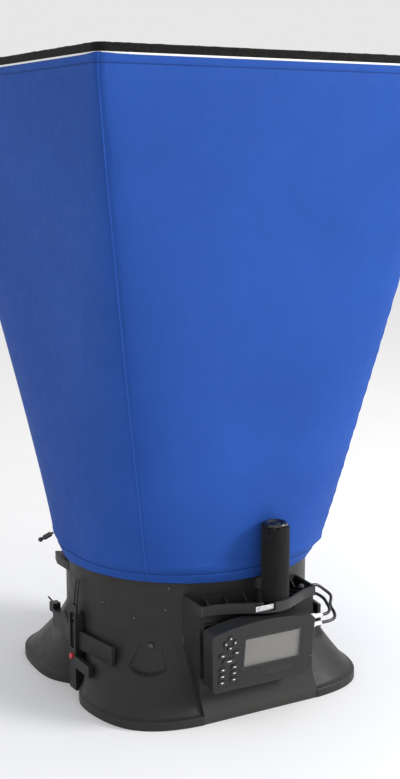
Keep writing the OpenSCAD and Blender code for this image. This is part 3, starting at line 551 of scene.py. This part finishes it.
def pocket_depth(turn, z, r):
    """How far the bell-shaped flat around a pole socket's screw cuts into the skirt."""
    for corner in SOCKET_TURNS:
        off = math.radians((turn - corner + 540) % 360 - 180)
        if abs(off) > POCKET_REACH:
            continue
        across = abs(off) * POCKET_R
        low = POCKET_LOW + across * across / POCKET_ARC
        spread = max(0.0, POCKET_SPREAD_Z - z) / (POCKET_SPREAD_Z - POCKET_LOW)
        lean = max(0.0, POCKET_LEAN_Z - z) / (POCKET_LEAN_Z - POCKET_LOW)
        half = POCKET_HALF + POCKET_SPREAD * spread ** 1.5
        flat = (POCKET_FACE + POCKET_LEAN * lean ** 1.5) / math.cos(off)
        beside = smooth((half - across) / 1.8 + 0.5)
        above = smooth((z - low) / 2.0 + 0.5)
        below = smooth((POCKET_TOP - z) / POCKET_FADE)
        return beside * above * below * max(0.0, r - flat)
    return 0.0


def skirt_radius(turn, z):
    foot = foot_radius(turn)
    if z <= RIM_H - RIM_EDGE:
        return foot
    if z <= RIM_H:
        s = (z - RIM_H + RIM_EDGE) / RIM_EDGE
        return foot - RIM_EDGE * (1 - math.sqrt(max(0, 1 - s * s)))
    if z >= FLARE_Z:
        r = THROAT_R
    else:
        s = (FLARE_Z - z) / (FLARE_Z - RIM_H)
        r = THROAT_R + (foot - RIM_SETBACK - THROAT_R) * s ** FLARE_POWER
        r += (RIM_SETBACK - RIM_EDGE) * max(0, 1 - (z - RIM_H) / 3) ** 2
    return r - pocket_depth(turn, z, r)


def base_levels():
    """Heights of the skirt's rows: close at the rim and across the pockets, wide up the throat."""
    rim = [0, 2, 5, 9, 12, 12.6, 13.2, 13.7, 14, 14.6, 15.4, 16.5, 18]
    low = [20, 23, 27, 31, 36, 41, 46, 50, 54, 57]
    mid = list(np.arange(59, 140, 1.6))
    high = [142, 146, 152, 160, 170, 182, 196, 208, 214, THROAT_TOP - 1, THROAT_TOP]
    return rim + low + mid + high


def base_turns():
    """Directions of the skirt's columns in degrees, closer together across the pockets."""
    turns = []
    t = 0.0
    while t < 360:
        near = min(turn_gap(t, c) for c in SOCKET_TURNS)
        turns.append(t)
        t += 0.45 if near < 12.5 else 1.25
    return turns


def base_shell(name):
    """The whole skirt and throat as one closed shell."""
    turns, levels = base_turns(), base_levels()
    verts = []
    for inset in (0, WALL):
        for z in levels:
            for turn in turns:
                r = skirt_radius(turn, z) - inset
                a = math.radians(turn)
                verts.append(Vector((r * math.cos(a), r * math.sin(a), z)) * MM)
    n, m = len(turns), len(levels)
    faces = grid_faces(m, n)
    faces += [tuple(i + n * m for i in reversed(f)) for f in grid_faces(m, n)]
    top, top_in = (m - 1) * n, (2 * m - 1) * n
    for i in range(n):
        k = (i + 1) % n
        faces.append((k, i, n * m + i, n * m + k))
        faces.append((top + i, top + k, top_in + k, top_in + i))
    return new_object(name, verts, faces, [mat_base])


# Blocks that cut the shell at the parting line, at the side posts and at the front housing. Each
# reaches well past the shell on its free sides.
POST_MIDDLE = THROAT_R + 50
POST_CUT_X = 49.6
POST_CUT_Y = 12.3
HOUSE_GAP = 0.3


def base_half(name, node, front):
    obj = base_shell(name)
    near_y = -PART_Y - SEAM_GAP if front else -500
    far_y = 500 if front else -PART_Y + SEAM_GAP
    cutters = [cutter_box((-400, near_y, -5), (400, far_y, 300))]
    for s in (-1, 1):
        low = (s * POST_MIDDLE - POST_CUT_X, -PART_Y - POST_CUT_Y, -5)
        high = (s * POST_MIDDLE + POST_CUT_X, -PART_Y + POST_CUT_Y, FLARE_Z + 1)
        cutters.append(cutter_box(low, high))
    if front:
        house = HOUSE_X + HOUSE_GAP
        cutters.append(cutter_box((-house, -400, -5), (house, -150, FLARE_Z + 1)))
    cut_away(obj, cutters, "MANIFOLD")
    obj.data.shade_smooth()
    obj.data.set_sharp_from_angle(angle=math.radians(42))
    return place(obj, "base", "base_shell", node)


base_half("base_front_skin", "base_front_half", True)
base_half("base_rear_skin", "base_rear_half", False)


# ---- hood --------------------------------------------------------------------------------------
CORNER_HALF = 12
CORNER_COLS = 2 * CORNER_HALF + 1
FLAT_COLS = 34
SIDE_COLS = CORNER_COLS + FLAT_COLS - 1
HEM_TUCK = 28
HEM_SPAN = 20
CUSP = 11
CUSP_LOW = 2.5
CUSP_RUN = 32


def hood_row(z):
    """Half width and corner radius of the hood at height z, before the folds."""
    hem_end = HOOD_Z[0] + HEM_SPAN
    if z <= hem_end:
        t = (z - HOOD_Z[0]) / HEM_SPAN
        half = HEM_R + 1.6 + 1.2 * t + 0.5 * math.sin(math.pi * t)
        return half, half - 1 - HEM_TUCK * t ** 1.3
    if z < WAIST_Z:
        t = (z - hem_end) / (WAIST_Z - hem_end)
        half = HEM_R + 2.8 + (WAIST_HALF - HEM_R - 2.8) * t
        start = HEM_R + 1.8 - HEM_TUCK
        return half, start + (WAIST_R - start) * math.sin(math.pi / 2 * t)
    t = min(1, (z - WAIST_Z) / (WRAP_Z - WAIST_Z))
    half = WAIST_HALF + (FRAME_HALF - WAIST_HALF) * t - SAG * 4 * t * (1 - t)
    return half, FRAME_R + (WAIST_R - FRAME_R) * (1 - t) ** 1.3


def hood_levels():
    """Heights of the hood's rows, closer together at both hems."""
    rows = list(np.linspace(HOOD_Z[0], HOOD_Z[0] + 44, 30))
    rows += list(np.linspace(HOOD_Z[0] + 49, HOOD_Z[1] - 30, 96))
    rows += list(np.linspace(HOOD_Z[1] - 26, HOOD_Z[1], 14))
    return rows


def hood_ring(half, corner):
    """Points, outward directions and the distance to the nearest corner seam, in mm."""
    points = []
    for q in range(4):
        sx = 1 if q in (0, 3) else -1
        sy = 1 if q < 2 else -1
        for i in range(-CORNER_HALF, CORNER_HALF + 1):
            off_seam = math.copysign(45 * (abs(i) / CORNER_HALF) ** 1.8, i)
            a = math.radians(90 * q + 45 + off_seam)
            out = Vector((math.cos(a), math.sin(a), 0))
            at = Vector((sx * (half - corner), sy * (half - corner), 0)) + out * corner
            points.append((at, out, abs(math.radians(off_seam)) * corner))
        a = math.radians(90 * (q + 1))
        out = Vector((math.cos(a), math.sin(a), 0))
        along = Vector((-math.sin(a), math.cos(a), 0))
        run = 2 * (half - corner)
        start = points[-1][0]
        for i in range(1, FLAT_COLS):
            d = run * i / FLAT_COLS
            points.append((start + along * d, out, min(d, run - d) + math.radians(45) * corner))
    return points


def corner_cusp(seam, z):
    """How far the sewn corner stands proud of the rounded section, in mm."""
    t = min(1, max(0, (z - WAIST_Z) / (WRAP_Z - WAIST_Z)))
    low = smooth((z - HOOD_Z[0] - 12) / HEM_SPAN)
    return (CUSP * 4 * t * (1 - t) + CUSP_LOW * (1 - t) * low) * math.exp(-seam / CUSP_RUN)


def hem_gather(p, z):
    """Folds that the elastic draws into the lower hem, in mm."""
    bottom = z - HOOD_Z[0]
    if bottom >= 60:
        return 0.0
    turn = math.atan2(p.y, p.x)
    fold = noise.noise(Vector((math.cos(turn) * 16, math.sin(turn) * 16, 0.3)))
    fine = noise.noise(Vector((math.cos(turn) * 42, math.sin(turn) * 42, 3.3 + z * 0.01)))
    return (1.3 * fold + 0.8 * fine) * math.exp(-bottom / 17)


def hood_offset(p, seam, z, side):
    """Puckers at the seams and hem, the raised seam itself and the folded hems, in mm."""
    top, bottom = HOOD_Z[1] - z, z - HOOD_Z[0]
    wave = noise.noise(Vector((side * 7.1, 0, z * 0.045)))
    pucker = 0.55 * math.sin(z * 2 * math.pi / 23 + 5 * wave + 2.1 * side) * math.exp(-seam / 13)
    ridge = 0.7 * math.exp(-((seam / 1.8) ** 2))
    gather = hem_gather(p, z)
    band = 0.7 * smooth((HEM_STITCH - 0.5 - bottom) / 1.5) + 0.6 * smooth((TOP_STITCH - 0.3 - top) / 1.2)
    low_groove = 1.1 * math.exp(-(((bottom - HEM_STITCH) / 1.6) ** 2))
    cinch = -low_groove - 0.7 * math.exp(-((top - TOP_STITCH) ** 2))
    broad = 1.4 * noise.noise(Vector((p.x * 0.006, p.y * 0.006, z * 0.0045)))
    broad *= smooth(top / 120) * smooth(bottom / 80)
    bunch = 0.8 * noise.noise(p * 0.12) * math.exp(-top / 14) * math.exp(-seam / 26)
    seams = pucker * smooth(top / 30) + ridge * smooth(bottom / 22) + corner_cusp(seam, z)
    return seams + gather + band + cinch + broad + bunch


def hem_rise(p, seam, z):
    """How far the top hem rides up over the frame's lip, most where it bunches at a corner, in mm."""
    top = HOOD_Z[1] - z
    uneven = 1 + 0.5 * noise.noise(Vector((p.x, p.y, 0)) * 0.15)
    return (1.6 + 2.6 * uneven * math.exp(-seam / 18)) * smooth(1 - top / 26)


def hood_uv(mesh, levels, cols):
    """Lays the sheet out flat: metres around its middle row, and the height in metres."""
    mid = (len(levels) // 2) * cols
    around = [0.0]
    for i in range(cols):
        step = mesh.vertices[mid + (i + 1) % cols].co - mesh.vertices[mid + i].co
        around.append(around[-1] + step.length)
    layer = mesh.uv_layers.new(name="UVMap")
    for face in mesh.polygons:
        columns = [v % cols for v in face.vertices]
        wraps = min(columns) == 0 and max(columns) == cols - 1
        for loop in face.loop_indices:
            v = mesh.loops[loop].vertex_index
            c = v % cols
            u = around[cols] if wraps and c == 0 else around[c]
            layer.data[loop].uv = (u, levels[v // cols] * MM)


def make_hood():
    levels = hood_levels()
    cols = 4 * SIDE_COLS
    verts, seams = [], []
    for z in levels:
        for i, (p, out, seam) in enumerate(hood_ring(*hood_row(z))):
            side = round(i / SIDE_COLS)
            q = p + out * hood_offset(Vector((p.x, p.y, z)), seam, z, side)
            verts.append(Vector((q.x, q.y, z + hem_rise(p, seam, z))) * MM)
            seams.append(seam)
    obj = new_object("hood_fabric_piece", verts, grid_faces(len(levels), cols), [mat_fabric])
    obj.data.attributes.new("seam", "FLOAT", "POINT").data.foreach_set("value", seams)
    hood_uv(obj.data, levels, cols)
    return obj, cols, len(levels)


PINNED_LOW = 22
PINNED_TOP = 14
CLOTH_FRAMES = 20
CLOTH_REACH = 5


def pin_hems(obj, cols, rows):
    pins = obj.vertex_groups.new(name="pins")
    for j in range(rows):
        if j < PINNED_LOW or j >= rows - PINNED_TOP:
            pins.add(list(range(j * cols, (j + 1) * cols)), 1.0, "REPLACE")


def simulate_hood(obj, cols, rows):
    """Lets the cloth settle between its pinned hems, then caps how far any point may have moved."""
    pin_hems(obj, cols, rows)
    start = np.array([v.co[:] for v in obj.data.vertices])
    cloth = obj.modifiers.new("cloth", "CLOTH")
    cloth.settings.quality = 5
    cloth.settings.mass = 0.25
    cloth.settings.tension_stiffness = 40
    cloth.settings.compression_stiffness = 40
    cloth.settings.shear_stiffness = 20
    cloth.settings.bending_stiffness = 2.0
    cloth.settings.vertex_group_mass = "pins"
    cloth.settings.shrink_min = 0.002
    cloth.collision_settings.use_collision = False
    cloth.settings.effector_weights.gravity = 0.4
    cloth.point_cache.frame_start = 1
    cloth.point_cache.frame_end = 24
    scene = bpy.context.scene
    for f in range(1, CLOTH_FRAMES + 1):
        scene.frame_set(f)
    apply_modifiers(obj)
    moved = np.array([v.co[:] for v in obj.data.vertices]) - start
    length = np.linalg.norm(moved, axis=1, keepdims=True)
    capped = start + moved * np.minimum(1, CLOTH_REACH * MM / np.maximum(length, 1e-9))
    obj.data.vertices.foreach_set("co", capped.ravel())
    obj.data.update()
    scene.frame_set(1)


def thicken(obj, mm):
    """Gives the sheet its thickness, inwards."""
    solid = obj.modifiers.new("thick", "SOLIDIFY")
    solid.thickness = mm * MM
    solid.offset = -1.0
    solid.use_even_offset = True
    apply_modifiers(obj)


hood, hood_cols, hood_rows = make_hood()
simulate_hood(hood, hood_cols, hood_rows)
thicken(hood, FABRIC_T)
hood.data.shade_smooth()
place(hood, "base", "fabric", *HOOD_NODES)


# ---- gasket ------------------------------------------------------------------------------------
GASKET_CORNER = 20
GASKET_EDGE = 3.2
PATH_STEP = 6.0
PATH_ARC = 10


def square_path(half, corner):
    """Points and outward directions around a square with rounded corners, in mm."""
    points = []
    for q in range(4):
        sx = 1 if q in (0, 3) else -1
        sy = 1 if q < 2 else -1
        centre = Vector((sx * (half - corner), sy * (half - corner), 0))
        for i in range(PATH_ARC + 1):
            a = math.radians(90 * q + 90 * i / PATH_ARC)
            out = Vector((math.cos(a), math.sin(a), 0))
            points.append((centre + out * corner, out))
        a = math.radians(90 * (q + 1))
        out, along = Vector((math.cos(a), math.sin(a), 0)), Vector((-math.sin(a), math.cos(a), 0))
        run = 2 * (half - corner)
        count = int(run / PATH_STEP)
        start = points[-1][0]
        points += [(start + along * run * i / count, out) for i in range(1, count)]
    return points


def gasket_section():
    """The strip's section as (distance out from the frame's edge, height) in mm, rounded on top."""
    z0, z1 = FOAM_Z
    width, edge, steps = LIP_W, GASKET_EDGE, 5
    points = [(-width, z0), (-width, (z0 + z1) / 2)]
    for i in range(steps + 1):
        a = math.pi - math.pi / 2 * i / steps
        points.append((-width + edge + edge * math.cos(a), z1 - edge + edge * math.sin(a)))
    points += [(-width * 0.66, z1), (-width * 0.33, z1)]
    for i in range(steps + 1):
        a = math.pi / 2 - math.pi / 2 * i / steps
        points.append((-edge + edge * math.cos(a), z1 - edge + edge * math.sin(a)))
    return points + [(0, (z0 + z1) / 2), (-0.4, z0)]


def make_gasket():
    section, path = gasket_section(), square_path(FRAME_HALF, GASKET_CORNER)
    verts = []
    for out_by, z in section:
        for p, out in path:
            q = p + out * out_by
            at = Vector((q.x, q.y, z))
            dent = 0.5 * (noise.noise(at * 0.07) + 0.6 * noise.noise(at * 0.31)) - 0.5
            q = q + out * (dent if out_by > -LIP_W / 2 else -dent)
            drop = dent if z > FOAM_Z[1] - 2 else 0
            verts.append(Vector((q.x, q.y, z + drop)) * MM)
    cols, rows = len(path), len(section)
    faces = [tuple(reversed(f)) for f in grid_faces(rows, cols)]
    for i in range(cols):
        k = (i + 1) % cols
        faces.append((i, k, (rows - 1) * cols + k, (rows - 1) * cols + i))
    obj = new_object("foam_gasket_piece", verts, faces, [mat_gasket])
    face_outwards(obj)
    obj.data.set_sharp_from_angle(angle=math.radians(50))
    place(obj, "base", "gasket_foam", "foam_gasket")


make_gasket()


# ---- grips -------------------------------------------------------------------------------------
# The cap's turned outline, as (radius, height over the sleeve's end).
CAP_OUTLINE = [
    (AXIS_R, -1), (16, -1), (18.5, -0.5), (19.3, 1.5), (18.8, 4), (17.4, 5.4), (15.4, 5.9), (13.6, 5.2),
    (12.4, 3.4), (11.4, 2.6), (7.6, 2.5), (6.8, 3.0), (6.2, 4.2), (3.0, 4.4), (2.4, 3.2), (AXIS_R, 3.1),
]
SLEEVE_EDGE = 3.5
SLEEVE_BULGE = 0.4


def make_grip(side):
    low, high = (Vector(c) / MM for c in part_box(side + "_grip_foam"))
    r = (high.x - low.x) / 2
    at = ((low.x + high.x) / 2, (low.y + high.y) / 2, 0)
    profile = rounded_profile(r - SLEEVE_BULGE, low.z, high.z, SLEEVE_EDGE, SLEEVE_BULGE)
    sleeve = lathe(side + "_grip_sleeve", profile, at, [mat_grip], 72, wobble=0.5)
    place(sleeve, "base", "grip_foam", side + "_grip_foam")
    outline = [(radius, high.z + up) for radius, up in CAP_OUTLINE]
    cap = lathe(side + "_grip_end", outline, at, [mat_cap], 48)
    place(cap, "base", "grip_cap", side + "_grip_cap")


make_grip("front")
make_grip("rear")


# ---- CAD nodes with rounded edges ----------------------------------------------------------------
# Each node with its material and the width of its rounded edges.
SOFTENED = [
    ("front_housing", mat_housing, 0.9), ("rear_housing", mat_housing, 0.8),
    ("hood_collar", mat_collar, 0.5), ("pole_sockets", mat_collar, 0.5),
    ("left_post", mat_post, 0.6), ("right_post", mat_post, 0.6),
    ("left_bracket", mat_post, 0.6), ("right_bracket", mat_post, 0.6),
    ("manifold_hub", mat_collar, 1.0), ("manifold_arms", mat_arm, 0.3),
    ("tube_bulkheads", mat_fitting, 0.4),
    ("front_grip_core", mat_cap, 0.5), ("rear_grip_core", mat_cap, 0.5),
    ("frame_rails", mat_rail, 0.3), ("frame_corners", mat_corner, 0.5),
    ("support_poles", mat_pole, 0.4), ("pole_ferrules", mat_arm, 0.3),
    ("cord_lock", mat_cap, 0.5), ("hood_clips", mat_post, 0.6),
    ("meter_front_case", mat_case, 1.4), ("meter_rear_case", mat_case, 0.8),
    ("battery_door", mat_case, 0.4), ("meter_label", mat_label, 0.3),
    ("pressure_ports", mat_fitting, 0.4), ("tube_connectors", mat_connector, 0.5),
    ("meter_hinge_pin", mat_screw, 0.3), ("meter_catch", mat_catch, 0.7),
    ("left_latch", mat_post, 0.4), ("right_latch", mat_post, 0.4),
    ("left_button", mat_red, 0.6), ("right_button", mat_red, 0.6),
    ("circuit_board", mat_board, 0.2), ("batteries", mat_battery, 0.4),
    ("lcd_panel", mat_display, 0.3), ("lcd_window", mat_window, 0.15),
]
for node, material, width in SOFTENED:
    soften(node, material, width)
KEYS = [n for n in frame["nodes"] if n.startswith("key_")]
for node in KEYS:
    soften(node, mat_key, 0.7, segments=3)
frame["nodes"]["hood_elastic"].data.materials.clear()
frame["nodes"]["hood_elastic"].data.materials.append(mat_elastic)


# ---- screws ------------------------------------------------------------------------------------
# Directions in degrees and heights of the small screws on the throat.
THROAT_SCREWS = [(200, 162), (217, 146), (231.5, 164), (233, 200)]
THROAT_SCREW = (1.9, 1.3)
SOCKET_SCREW_Z = 104
SOCKET_SCREW = (3.6, 2.4)
# A screw in its boss, as (radius, height) in parts of the head's radius and depth.
SCREW_OUTLINE = [(1.6, 0.5), (1.35, 0.75), (1.12, 0.72), (1.08, 0.2), (1, 0.2), (0.96, 0.75), (0.6, 1.05)]
BOSS_R = 1.75
BOSS_SUNK = -2


def screw_head(name, turn, z, size, radius):
    """A recessed-cross screw in a raised boss, pointing outwards."""
    r, depth = size
    boss = [(AXIS_R, BOSS_SUNK), (r * BOSS_R, BOSS_SUNK)]
    boss += [(r * across, depth * up) for across, up in SCREW_OUTLINE]
    boss.append((AXIS_R, depth * 1.1))
    obj = lathe(name, boss, (0, 0, 0), [mat_base, mat_screw], 36)
    for f in obj.data.polygons:
        if math.hypot(f.center.x, f.center.y) < r * 0.99 * MM:
            f.material_index = 1
    cross = []
    for angle in (0, math.pi / 2):
        bar = cutter_box((-r * 0.62, -r * 0.12, depth * 0.35), (r * 0.62, r * 0.12, depth * 2))
        bar.data.transform(Matrix.Rotation(angle, 4, "Z"))
        cross.append(bar)
    cut_away(obj, cross, "EXACT")
    aim = Matrix.Rotation(math.radians(turn), 4, "Z")
    out = Matrix.Translation((radius * MM, 0, z * MM))
    obj.data.transform(aim @ out @ Matrix.Rotation(math.pi / 2, 4, "Y"))
    obj.data.set_sharp_from_angle(angle=math.radians(40))
    return obj


def make_screws():
    pieces = []
    for i, turn in enumerate(SOCKET_TURNS):
        radius = skirt_radius(turn, SOCKET_SCREW_Z)
        pieces.append(screw_head(f"socket_screw_{i}", turn, SOCKET_SCREW_Z, SOCKET_SCREW, radius))
    for i, (turn, z) in enumerate(THROAT_SCREWS):
        pieces.append(screw_head(f"throat_screw_{i}", turn, z, THROAT_SCREW, THROAT_R))
    for k, piece in enumerate(pieces):
        place(piece, "base", "screw_steel", *(["base_screws"] if k == 0 else []))


make_screws()


# ---- key marks -----------------------------------------------------------------------------------
ARROW_TURNS = {"key_up": 0, "key_right": -90, "key_down": 180, "key_left": 90}
ARROW = [(-1.7, -1.0), (1.7, -1.0), (0, 1.5)]
DASH_HALF = 2.4
WIDE_DASH_HALF = 4.6
DASH_UP = 0.9
DASH_STEPS = 10
MARK_PROUD = 1.5
MARK_T = 0.3


def face_point(x, up, proud):
    """A point on the meter's face, in metres, from its place across and up in mm."""
    turn = Matrix.Rotation(METER_LEAN, 3, "X")
    return METER_ORIGIN + turn @ (Vector((x, -CASE_D - proud, up)) * MM)


def flat_prism(name, outline, proud, mat, thick):
    """A flat shape laid on the meter's face, thick mm from its proud level outwards."""
    n = len(outline)
    verts = [face_point(x, z, level) for level in (proud, proud + thick) for x, z in outline]
    faces = [tuple(range(n)), tuple(reversed(range(n, 2 * n)))]
    faces += [(i, i + n, (i + 1) % n + n, (i + 1) % n) for i in range(n)]
    obj = new_object(name, verts, faces, [mat], smooth=False)
    face_outwards(obj)
    return obj


def key_centre(node):
    low, high = (Vector(c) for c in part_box(node))
    middle = (low + high) / 2 - METER_ORIGIN
    local = Matrix.Rotation(-METER_LEAN, 3, "X") @ middle
    return local.x / MM, local.z / MM


def arrow_outline(x, z, turn):
    c, s = math.cos(math.radians(turn)), math.sin(math.radians(turn))
    return [(x + px * c - pz * s, z + px * s + pz * c) for px, pz in ARROW]


def dash_outline(x, z, half):
    turns = [2 * math.pi * i / DASH_STEPS for i in range(DASH_STEPS)]
    return [(x + half * math.cos(a), z + DASH_UP * math.sin(a)) for a in turns]


def mark_key(node):
    x, z = key_centre(node)
    if node in ARROW_TURNS:
        outline = arrow_outline(x, z, ARROW_TURNS[node])
    else:
        outline = dash_outline(x, z, WIDE_DASH_HALF if node == "key_wide" else DASH_HALF)
    mark = flat_prism(node + "_mark", outline, MARK_PROUD, mat_mark, MARK_T)
    place(mark, body_of(node), "key")


for node in KEYS:
    mark_key(node)


# ---- display border ------------------------------------------------------------------------------
DISPLAY_AT = (17, 59)
WINDOW_HALF = (55.4, 28.4)
DISPLAY_HALF = (51, 23.4)
BORDER_BACK = -0.08
BORDER_FRONT = 0.06


def rounded_loop(half, r, steps=6):
    """Points across and up the meter's face, around a rectangle with rounded corners."""
    points = []
    for q in range(4):
        sx = 1 if q in (0, 3) else -1
        sz = 1 if q < 2 else -1
        for i in range(steps + 1):
            a = math.radians(90 * q + 90 * i / steps)
            x = DISPLAY_AT[0] + sx * (half[0] - r) + r * math.cos(a)
            points.append((x, DISPLAY_AT[1] + sz * (half[1] - r) + r * math.sin(a)))
    return points


def make_display_border():
    """The black border printed on the window, open over the display."""
    outer, inner = rounded_loop(WINDOW_HALF, 1.5), rounded_loop(DISPLAY_HALF, 0.8)
    n = len(outer)
    verts = []
    for proud in (BORDER_BACK, BORDER_FRONT):
        verts += [face_point(x, z, proud) for x, z in outer + inner]
    faces = []
    for i in range(n):
        k = (i + 1) % n
        faces.append((i, k, n + k, n + i))
        faces.append((2 * n + i, 3 * n + i, 3 * n + k, 2 * n + k))
        faces.append((i, 2 * n + i, 2 * n + k, k))
        faces.append((n + i, n + k, 3 * n + k, 3 * n + i))
    obj = new_object("display_border", verts, faces, [mat_label], smooth=False)
    face_outwards(obj)
    place(obj, body_of("lcd_window"), "label")


make_display_border()


# ---- pressure tubes ------------------------------------------------------------------------------
TUBE_R = 2.6
HOUSE_Y = THROAT_R + 25
BULKHEAD_OUT = 5
CONNECTOR_END = 92 + 29
PORT_Y = -9
# For each tube: its bulkhead's y and z, the route from there, its port's height on the meter, and
# the route's end by the meter. Both routes are offsets.
TUBES = {
    "high_tube": (
        (-HOUSE_Y + 24, 177), [(0, 0, 0), (7, 0, 0), (20, 0, -2), (31, -4, -10), (39, -12, -20)],
        73, [(36, 25, 16), (36, 14, 6), (30, 5, 1.5), (20, 1, 0.1), (10, 0, 0), (-2, 0, 0)]),
    "low_tube": (
        (-HOUSE_Y + 26, 163), [(0, 0, 0), (7, 0, 0), (15, -2, -1), (21, -8, -4), (24, -16, -8)],
        87, [(26, 23, 8), (24, 13, 3), (17, 5, 0.5), (9, 1, 0), (-2, 0, 0)]),
}


def meter_point(x, y, z):
    """A point given in the meter's own frame, in mm."""
    return METER_ORIGIN / MM + Matrix.Rotation(METER_LEAN, 3, "X") @ Vector((x, y, z))


def tube_points(bulkhead, first, port_z, last):
    start = Vector((HOUSE_X + BULKHEAD_OUT, *bulkhead))
    end = meter_point(CONNECTOR_END, PORT_Y, port_z)
    return [start + Vector(d) for d in first] + [end + Vector(d) for d in last]


def spline_point(a, b, c, d, t):
    """A point between b and c on a Catmull-Rom curve."""
    square = (2 * a - 5 * b + 4 * c - d) * t * t
    return 0.5 * (2 * b + (c - a) * t + square + (3 * b - a - 3 * c + d) * t ** 3)


def smooth_route(points, k=8):
    p = [Vector(q) for q in points]
    out = []
    for i in range(len(p) - 1):
        a, b, c, d = p[max(i - 1, 0)], p[i], p[i + 1], p[min(i + 2, len(p) - 1)]
        out += [spline_point(a, b, c, d, j / k) for j in range(k)]
    return out + [p[-1]]


def tube_mesh(name, route, radius, mat, sides=16):
    verts = []
    side = Vector((0.1, -0.2, 1))
    for i, p in enumerate(route):
        d = (route[min(i + 1, len(route) - 1)] - route[max(i - 1, 0)]).normalized()
        side = side - d * side.dot(d)
        side.normalize()
        other = d.cross(side)
        for s in range(sides):
            a = 2 * math.pi * s / sides
            verts.append((p + radius * (math.cos(a) * side + math.sin(a) * other)) * MM)
    return new_object(name, verts, capped_faces(len(route), sides), [mat])


for node, parts in TUBES.items():
    points = tube_points(*parts)
    tube = tube_mesh(node + "_piece", smooth_route(points), TUBE_R, mat_tube)
    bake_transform(tube)
    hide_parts(node)


# ---- floor and light ------------------------------------------------------------------------------
# Light positions, targets and sizes in metres, powers in watts.
WORLD_STRENGTH = 0.8
KEY_LIGHT = ((2.9, -2.4, 2.1), (0, -0.1, 0.5), (1.0, 1.2), 125)
FILL_LIGHT = ((-2.2, -2.8, 1.8), (0, 0, 0.4), (1.6, 1.6), 2)


def make_floor():
    obj = new_object("floor", [(-40, -40, 0), (40, -40, 0), (40, 60, 0), (-40, 60, 0)], [(0, 1, 2, 3)])
    s = Shader("floor_paper", (0.9, 0.9, 0.9), 0.85, specular=0.1)
    s.base(s.ramp(s.noise(3, 3), [(0.2, (0.93, 0.93, 0.93)), (0.8, (0.95, 0.95, 0.95))]))
    obj.data.materials.append(s.mat)


def area_light(name, at, target, size, power):
    data = bpy.data.lights.new(name, "AREA")
    data.shape = "RECTANGLE"
    data.size, data.size_y = size
    data.energy = power
    obj = bpy.data.objects.new(name, data)
    obj.location = at
    obj.rotation_euler = (Vector(target) - Vector(at)).to_track_quat("-Z", "Y").to_euler()
    bpy.context.scene.collection.objects.link(obj)


def make_world():
    world = bpy.data.worlds.new("studio")
    world.use_nodes = True
    back = world.node_tree.nodes["Background"]
    back.inputs["Color"].default_value = (1, 1, 1, 1)
    back.inputs["Strength"].default_value = WORLD_STRENGTH
    bpy.context.scene.world = world


make_floor()
make_world()
area_light("key", *KEY_LIGHT)
area_light("fill", *FILL_LIGHT)
bpy.context.scene.view_settings.view_transform = "Standard"
